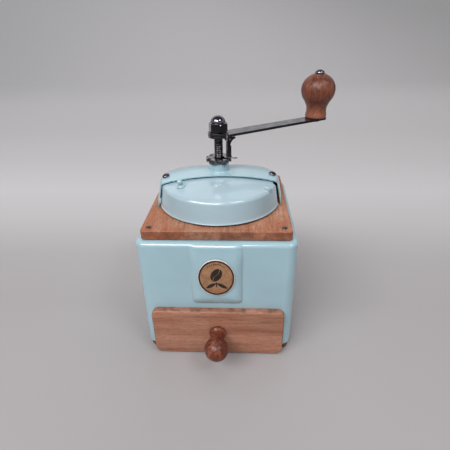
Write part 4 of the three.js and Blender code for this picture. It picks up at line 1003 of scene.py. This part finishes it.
def crank_knob(ball_z=23.35, ball_r=14.47, bore=2.55, top=35.8):
    foot = [(bore, 0), (8.35, 0), (8.75, 0.15), (9.05, 0.5), (9.2, 1.2), (9.2, 2.3), (9.05, 3.2),
            (8.8, 4.2), (8.62, 5.3), (8.56, 6.5), (8.62, 7.8), (8.85, 9.1), (9.3, 10.4),
            (9.95, 11.8), (10.65, 13.2)]
    lower = arc(0, ball_z, ball_r, -38, 0, 12)
    upper = arc(0, ball_z, ball_r, 0, 73.5, 18, rise=13.2)
    return turned("turned_knob", foot + lower + upper[1:] + [(bore, top), (bore, 0)], 96,
                  closed=False)


def drawer_knob():
    foot = [(0.5, 0), (6.3, 0), (6.6, 0.3), (6.75, 0.8), (6.75, 2), (6.4, 2.7), (5.7, 3.3),
            (5.15, 4.4), (5.0, 6), (5.1, 8)]
    knob = turned("turned_pull", foot + arc(0, 17.7, 9.3, -54, 89, 30), 96)
    return move(turn_round(knob, math.pi / 2, "X"), 0, FRONT_FACE - GAP, PULL_Z)


hand_over(move(crank_knob(), *KNOB_PLACE, ARM_TOP + GAP), knob_wood, "knob", "knob_wood",
          "crank_knob", smooth=40)
hand_over(drawer_knob(), pull_wood, "drawer", "knob_wood", "drawer_knob", smooth=40)

# %% [markdown]
# ## The cover over the back of the hopper
# A pressed steel dome, nearly flat on top, with a tight shoulder and a wall that flares to the
# foot. Behind the shaft that profile gives way to one round arc. Its neck stands up round the
# shaft. The dome is turned on the lathe as a bare surface, its back is drawn down, its front half
# is cut off, and Solidify makes it one millimetre sheet. Two ears at the back take foot screws.

# %% Cover
COVER_FRONT, NECK_TOP, NECK_R, NECK_FILLET, REAR_R = -13.2, 145.3, 8, 1.4, 60
CROWN_STEPS, SHOULDER_STEPS, WALL_STEPS = 24, 16, 4
FAR = 80  # beyond the edge of any dome


def cap_profile(top_r, shoulder_r, foot_r, foot_z, flare, inner_r):
    """Crown, shoulder and wall of a cap, as (radius, height, share of the way down)."""
    crown_centre, foot = Vector((0, CROWN_Z - CROWN_R)), Vector((foot_r, foot_z))
    up = Vector((-flare, 1)).normalized()
    inward = Vector((-up.y, up.x))
    line = foot + shoulder_r * inward
    reach = line - crown_centre
    along = reach.dot(up)
    rise = math.sqrt(along ** 2 - reach.length_squared + (top_r - shoulder_r) ** 2) - along
    middle = line + up * rise
    meet = math.degrees(math.atan2(middle.y - crown_centre.y, middle.x))
    wall = math.degrees(math.atan2(-inward.y, -inward.x))
    crown = arc(0, crown_centre.y, top_r, math.degrees(math.acos(inner_r / top_r)), meet,
                CROWN_STEPS)
    shoulder = arc(middle.x, middle.y, shoulder_r, meet, wall, SHOULDER_STEPS)
    start = Vector(shoulder[-1])
    side = [start.lerp(foot, i / WALL_STEPS) for i in range(1, WALL_STEPS + 1)]
    eighths = ((crown, 0, 3), (shoulder[1:], 3 + 4 / SHOULDER_STEPS, 7),
               (side, 7 + 1 / WALL_STEPS, 8))
    return [(p[0], p[1], (first + (last - first) * i / (len(points) - 1)) / 8)
            for points, first, last in eighths for i, p in enumerate(points)]


def flat_cut(piece, y, keep_behind):
    """Cut a turned surface along a plane across Y and throw one side away."""
    take(piece)
    edit()
    select_all()
    bpy.ops.mesh.bisect(plane_co=(0, y * MM, 0), plane_no=(0, 1, 0),
                        clear_inner=keep_behind, clear_outer=not keep_behind)
    stop_editing()


def make_sheet(dome, foot_z):
    """Turn an open dome's normals outwards, make it 1 mm sheet and trim it level at its foot."""
    take(dome)
    edit()
    select_all()
    bpy.ops.mesh.normals_make_consistent(inside=False)
    mesh = bmesh.from_edit_mesh(dome.data)
    if sum(f.normal.z * f.calc_area() for f in mesh.faces) < 0:
        bpy.ops.mesh.flip_normals()
    stop_editing()
    apply_modifier(dome, "SOLIDIFY", thickness=MM, offset=-1, use_even_offset=True)
    return cut(dome, block("below", (-FAR, -FAR, 100), (FAR, FAR, foot_z + 0.003)))


def turn_down_lip(dome, deep=0.7, until=31, fade=8):
    """Fold the front edge of the cover down a little, less and less towards its two ends."""
    edit()
    pick("EDGE", lambda e: e.is_boundary and all(
        near(v.co.y, COVER_FRONT * MM) and v.co.z > FOOT_Z * MM + 0.01
        and abs(v.co.x) < (until + fade) * MM for v in e.verts))
    bpy.ops.mesh.extrude_edges_move(TRANSFORM_OT_translate={"value": (0, 0, 0)})
    mesh = bmesh.from_edit_mesh(dome.data)
    for vertex in mesh.verts:
        if vertex.select:
            share = min(max((until + fade - abs(vertex.co.x) / MM) / fade, 0.03), 1)
            vertex.co.z -= deep * share * MM
    bmesh.update_edit_mesh(dome.data)
    stop_editing()


def draw_back_down(dome, cap, start):
    """Blend the back of the dome, by its share of the way down, into one round arc."""
    centre_z = CROWN_Z - REAR_R
    first, last = math.acos(start / REAR_R), math.asin((FOOT_Z - centre_z) / REAR_R)
    for vertex in dome.data.vertices:
        x, y, z = vertex.co / MM
        reach = math.hypot(x, y)
        if y <= 0 or reach < start - 0.01 or z > cap[0][1] + 0.01:
            continue
        share = min(cap, key=lambda p: abs(p[0] - reach) + abs(p[1] - z))[2]
        angle = first + (last - first) * share
        behind = (y / reach) ** 2
        new_reach = reach + (REAR_R * math.cos(angle) - reach) * behind
        new_z = z + (centre_z + REAR_R * math.sin(angle) - z) * behind
        vertex.co = Vector((x * new_reach / reach, y * new_reach / reach, new_z)) * MM


def cover_dome():
    start = NECK_R + NECK_FILLET
    cap = cap_profile(CROWN_R, 4.8, COVER_FOOT, FOOT_Z, flare=0.184, inner_r=start)
    neck = [(6.3, NECK_TOP), (7.5, NECK_TOP), (7.85, NECK_TOP - 0.15), (NECK_R, NECK_TOP - 0.5)]
    neck += arc(start, cap[0][1] + NECK_FILLET, NECK_FILLET, 180, 262, 6)
    dome = turned("dome", neck + [p[:2] for p in cap], 160, closed=False)
    draw_back_down(dome, cap, start)
    flat_cut(dome, COVER_FRONT, keep_behind=True)
    turn_down_lip(dome)
    return make_sheet(dome, FOOT_Z)


def ear(angle, half=4.2):
    """A flat ear with a round end, under the head of a foot screw."""
    reach, top = ear_place(angle).length, FOOT_Z + 1
    tab = drum("tab", half, FOOT_Z, top, (reach, 0), 48)
    fuse(tab, block("root", (reach - 5.6, -half, FOOT_Z), (reach, half, top)))
    return turn_round(tab, math.radians(angle))


rear_dome = cover_dome()
for angle in EAR_ANGLES.values():
    fuse(rear_dome, ear(angle))
    drill(rear_dome, 1.55, 110, 116, ear_place(angle)[:2])
for side in (-1, 1):
    drill(rear_dome, 1.6, 125, 140, (side * COVER_SCREW_X, COVER_SCREW_Y))
soften(rear_dome, 0.25, 2, 60)
hand_over(turn_round(rear_dome, COVER_TURN), blue_enamel, "housing", "paint", "rear_cover",
          smooth=40)

# %% [markdown]
# ## The lid
# The front half of the hopper is closed by a smaller dome that dives under the cover's edge and
# swings out about a painted rivet at its right end. A wired bead runs round its foot. A pad under
# the rivet stiffens the sheet, a little tab at the left end meets the cover's edge, and a ball
# knob serves to push it.

# %% Lid, knob and rivet
LID_TOP_R, LID_FOOT, LID_FOOT_Z, LID_BACK = 189.9, 49.6, 114.1, -9
PIVOT, PIVOT_HOLE, LID_KNOB, LID_KNOB_HOLE = (36.6, -24.9), 1.35, (-29.4, -21.7), 1.55
PAD_TOP, PAD_R, BEAD_R = 132.785, 3.3, 0.52
TAB = (-48.65, -15.45, 117), (-46.85, -13.45, 121)
TRIM = (42.5, -15.4, 100), (60, 0, 150)


def lid_dome():
    cap = cap_profile(LID_TOP_R, 3.5, LID_FOOT, LID_FOOT_Z, flare=0.15, inner_r=8.5)
    dome = turned("lid", [p[:2] for p in cap], 160, closed=False)
    flat_cut(dome, LID_BACK, keep_behind=False)
    make_sheet(dome, LID_FOOT_Z)
    bead = turned("bead", arc(LID_FOOT - 0.15, LID_FOOT_Z + BEAD_R, BEAD_R, 0, 360, 16), 160,
                  closed=False)
    fuse(dome, cut(bead, block("behind", (-FAR, LID_BACK, 100), (FAR, FAR, 150))))
    cut(dome, block("trim", *TRIM))
    fuse(dome, drum("pad", PAD_R, PAD_TOP - 2.4, PAD_TOP, PIVOT, 48))
    fuse(dome, soften(block("tab", *TAB), 0.35, 3))
    drill(dome, PIVOT_HOLE, 100, 150, PIVOT)
    drill(dome, LID_KNOB_HOLE, 100, 150, LID_KNOB)
    return turn_round(soften(dome, 0.25, 2, 60), COVER_TURN)


def lid_button():
    """The lid's ball knob, square to the face under it."""
    button = turned("lid_button", arc(0, 4.1, 2.3, 88, -34, 20) + [
        (1.75, 2.3), (1.75, 1.4), (2.1, 0.9), (2.5, 0.7), (3.2, 0.66), (3.4, 0.45), (3.4, 0),
        (1.3, 0), (1.3, -1.7)])
    spot, outward = square_to_dome(*LID_KNOB, LID_TOP_R, GAP)
    button.data.transform(UP.rotation_difference(outward).to_matrix().to_4x4())
    return move(button, *spot)


def rivet():
    head = arc(0, 0, 2.98, 90, 0, 12, rise=0.88, least=0.0894)
    spot = square_to_dome(*PIVOT, LID_TOP_R)[0]
    return move(turned("rivet", head + [(1.1, 0), (1.1, -9.3)], 48), spot.x, spot.y, PAD_TOP + GAP)


hand_over(lid_dome(), lid_enamel, "lid", "paint", "front_lid", smooth=40)
hand_over(lid_button(), blue_enamel, "lid", "paint", "lid_knob", smooth=50)
hand_over(rivet(), lid_enamel, "housing", "paint", "lid_rivet", smooth=50)

# %% [markdown]
# ## Crank
# A flat bar with a round eye that sits on the shaft under a washer and a domed cap nut. The nut
# is the overlap of a six-sided prism and a turned shape with chamfered corners, with a dome on
# top. All of it is made with the crank along X and then turned to where it stands.

# %% Arm, washer, nut and disc
SHAFT_BORE, PIN_BORE, EYE_R, NUT_TURN = 3.75, 2.65, 8, math.radians(-13)


def crank_arm(half=6.3, tip=8):
    low = ARM_TOP - ARM_THICK
    bar = block("bar", (-1.5, -half, low), (CRANK_REACH + tip, half, ARM_TOP))
    bevel_edges(bar, lambda e: runs_along(e, 2) and e.verts[0].co.x > CRANK_REACH * MM, 1.6, 3)
    fuse(bar, drum("eye", EYE_R, low, ARM_TOP, sides=96))
    soften(bar, 0.35, 3)
    drill(bar, SHAFT_BORE, 150, 180, sides=64)
    return drill(bar, PIN_BORE, 150, 180, (CRANK_REACH, 0), 32)


def arm_washer():
    return washer("arm_washer", EYE_R, SHAFT_BORE, ARM_TOP + GAP, NUT_SEAT - GAP, 0.3)


def cap_nut(low=NUT_SEAT, flats=13, height=6.8, dome_r=5.7, dome_height=5.2):
    corner, top = flats / math.sqrt(3), low + height
    clear_selection()
    bpy.ops.mesh.primitive_cylinder_add(vertices=6, radius=corner * MM, depth=height * MM,
                                        location=(0, 0, (low + height / 2) * MM),
                                        rotation=(0, 0, math.pi / 6))
    hexagon = begin("hexagon")
    shoulder = arc(dome_r, top - 2.1, corner + 0.02 - dome_r, 0, 90, 14, rise=2.1)
    cone = turned("cone", [(5.5, low - 1), (6.5, low), (corner + 0.02, low + 0.8), *shoulder,
                           (4.5, top + 1)], 96)
    boolean(hexagon, cone, "INTERSECT")
    dome = [(dome_r, top - 2), (dome_r, top + 0.2)]
    dome += arc(0, top + 0.2, dome_r, 6, 88, 20, rise=dome_height - 0.2)
    fuse(hexagon, turned("dome", dome, 96))
    soften(hexagon, 0.28, 3)
    return drill(hexagon, SHAFT_BORE, low - 2, low + 7, sides=64)


def adjuster_disc(low=146.55, high=149.55, radius=10.2, notches=6, deep=3, wide=3.4):
    disc = drum("notched_disc", radius, low, high, sides=128)
    for step in range(notches):
        notch = block("notch", (radius - deep, -wide / 2, low - 1),
                      (radius + 5, wide / 2, high + 1))
        cut(disc, turn_round(notch, step * 2 * math.pi / notches))
    drill(disc, SHAFT_BORE, low - 1, high + 1, sides=64)
    return soften(disc, 0.3, 3)


for make, angle, finish, slot, node in (
        (crank_arm, ARM_ANGLE, arm_chrome, "steel", "crank_arm"),
        (arm_washer, ARM_ANGLE, dark_chrome, "dark_steel", "crank_washer"),
        (adjuster_disc, ARM_ANGLE, disc_chrome, "steel", "adjuster_disc"),
        (cap_nut, NUT_TURN, nut_chrome, "dark_steel", "acorn_nut")):
    hand_over(turn_round(make(), angle), finish, "crank", slot, node, flat=True)

# %% [markdown]
# ## Shaft, pin and the catch
# The shaft is turned, with a thread on the length between the disc and the arm. The grip turns
# on a pin riveted into the arm, with a domed cap. The catch hangs under the arm: its finger
# reaches into a notch of the disc and a leaf spring with a curled end keeps it there.

# %% Shaft and pin
SHAFT_R, STUB_R, COLLAR_R, THREAD_ROOT, PITCH = 3.5, 2.6, 6.2, 3.02, 1.6


def shaft_profile(z=150.3, thread_top=165):
    """From the lower end up: stub, collar, thread and tip; the thread starts at height z."""
    thread = []
    while z < thread_top:
        thread += [(SHAFT_R, z), (SHAFT_R, z + 0.15), (THREAD_ROOT, z + 0.76),
                   (THREAD_ROOT, z + 0.86), (SHAFT_R, z + 1.47)]
        z += PITCH
    return [(STUB_R, 57.3), (STUB_R, 61.05), (SHAFT_R, 61.05), (SHAFT_R, 83.75),
            (COLLAR_R, 83.75), (COLLAR_R, 85.75), (SHAFT_R, 85.75), *thread, (SHAFT_R, 175.5),
            (2.9, 176.1)]


def knob_pin(top=204.51):
    profile = [(3.2, 164.55), (3.7, 164.75), (4, 165.15), (4, 165.75), (2.4, 165.75), (2.4, top),
               (3.9, top), (4.1, top + 0.15)] + arc(0, top + 0.4, 4.1, 0, 88, 16, rise=2.68)
    return turn_round(move(turned("grip_pin", profile), CRANK_REACH, 0, 0), ARM_ANGLE)


shaft_low, shaft_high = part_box("shaft")
print("shaft", round(shaft_low.z / MM, 2), round(shaft_high.z / MM, 2))
hand_over(turned("turned_shaft", shaft_profile(), 48), shaft_steel, "crank", "steel", "shaft",
          smooth=30)
hand_over(knob_pin(), nut_chrome, "crank", "steel", "knob_pin", smooth=45)

# %% Catch, hanger, pin and leaf spring
for node, body, finish, slot, width in (
        ("latch_bracket", "crank", dark_chrome, "dark_steel", 0.2),
        ("latch_pin", "crank", bright_steel, "steel", 0.2),
        ("latch", "latch", dark_chrome, "dark_steel", 0.25),
        ("latch_spring", "latch", dark_chrome, "dark_steel", 0.12)):
    hand_over(refined(node, width), finish, body, slot, node, flat=True)

# %% [markdown]
# ## Inside the hopper
# The bowl hangs in the board by its flange; its floor runs down to the burrs. The bearing tube,
# bridge and washers are plain turned and punched parts. The burrs are cast and keep their
# measured shape, with an iron finish.

# %% Hopper and bearings
THROAT, BEARING_BORE = 85, 3.65


def hopper_bowl():
    profile = [(39.7, 113.2), (39.7, 104.5), (39.3, 103.6), (20, 87.2), (18.9, 86.4), (18.5, 85.8),
               (18.5, THROAT), (27.5, THROAT), (27.5, THROAT + 1), (20.1, THROAT + 1),
               (40.5, 103.3), (40.7, 103.8), (40.7, 112.95), (47.5, 112.95), (47.5, 113.95),
               (40.6, 113.95), (39.95, 113.7), (39.7, 113.2)]
    return turned("bowl", profile, 128, closed=False)


def bearing_tube():
    tube = turned("tube", [(BEARING_BORE, 111.2), (7.4, 111.2), (7.4, 116.45), (9.5, 116.45),
                           (9.5, 118.45), (7.4, 118.45), (7.4, 130.45), (6, 130.45), (6, 145.55),
                           (BEARING_BORE, 145.55), (BEARING_BORE, 111.2)], closed=False)
    return soften(tube, 0.25)


def coil_spring(radius=5.2, wire=0.7, turns=5):
    """A wire circle swept up the shaft by the Screw modifier."""
    low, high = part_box("burr_spring")
    clear_selection()
    bpy.ops.mesh.primitive_circle_add(vertices=16, radius=wire * MM, fill_type="NOTHING",
                                      location=(radius * MM, 0, low.z + wire * MM),
                                      rotation=(math.pi / 2, 0, 0))
    spring = begin("coil_spring")
    rise = high.z - low.z - 2 * wire * MM
    apply_modifier(spring, "SCREW", axis="Z", angle=2 * math.pi * turns, screw_offset=rise,
                   steps=48 * turns, render_steps=48 * turns, use_smooth_shade=True)
    edit()
    merge(0.001)
    bpy.ops.mesh.select_all(action="DESELECT")
    bpy.ops.mesh.select_non_manifold()
    bpy.ops.mesh.edge_face_add()
    select_all()
    bpy.ops.mesh.normals_make_consistent(inside=False)
    stop_editing()
    return turn_round(spring, ARM_ANGLE)


hand_over(hopper_bowl(), tin_sheet, "housing", "tinplate", "hopper_bowl", smooth=30)
low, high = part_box("bearing_tube")
print("tube", [round(v / MM, 2) for v in (low.z, high.z)])
hand_over(bearing_tube(), bright_steel, "housing", "steel", "bearing_tube", flat=True)
low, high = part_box("spring_washer")
for node, span in (("thrust_washer", (145.8, 146.3)), ("spring_washer", (low.z / MM, high.z / MM))):
    hand_over(washer(node + "_turned", 7.6, BEARING_BORE, *span, 0.12), bright_steel, "housing",
              "steel", node, flat=True)
hand_over(coil_spring(), bright_steel, "crank", "steel", "burr_spring", smooth=60)
finish_nodes(cast_iron, "outer_burr", "inner_burr")
finish_nodes(bright_steel, "hopper_bridge", "cover_post_left", "cover_post_right", "lid_post",
             "lower_bearing", "burr_nut", "burr_screw_1", "burr_screw_2", "burr_screw_3",
             "drawer_knob_screw")
finish_nodes(dark_beech, "drawer_runner_left", "drawer_runner_right")

# %% [markdown]
# ## Last step
# The view layer is brought up to date. The finished model may not grow beyond the
# measured one.

# %% Update the view layer
bpy.context.view_layer.update()
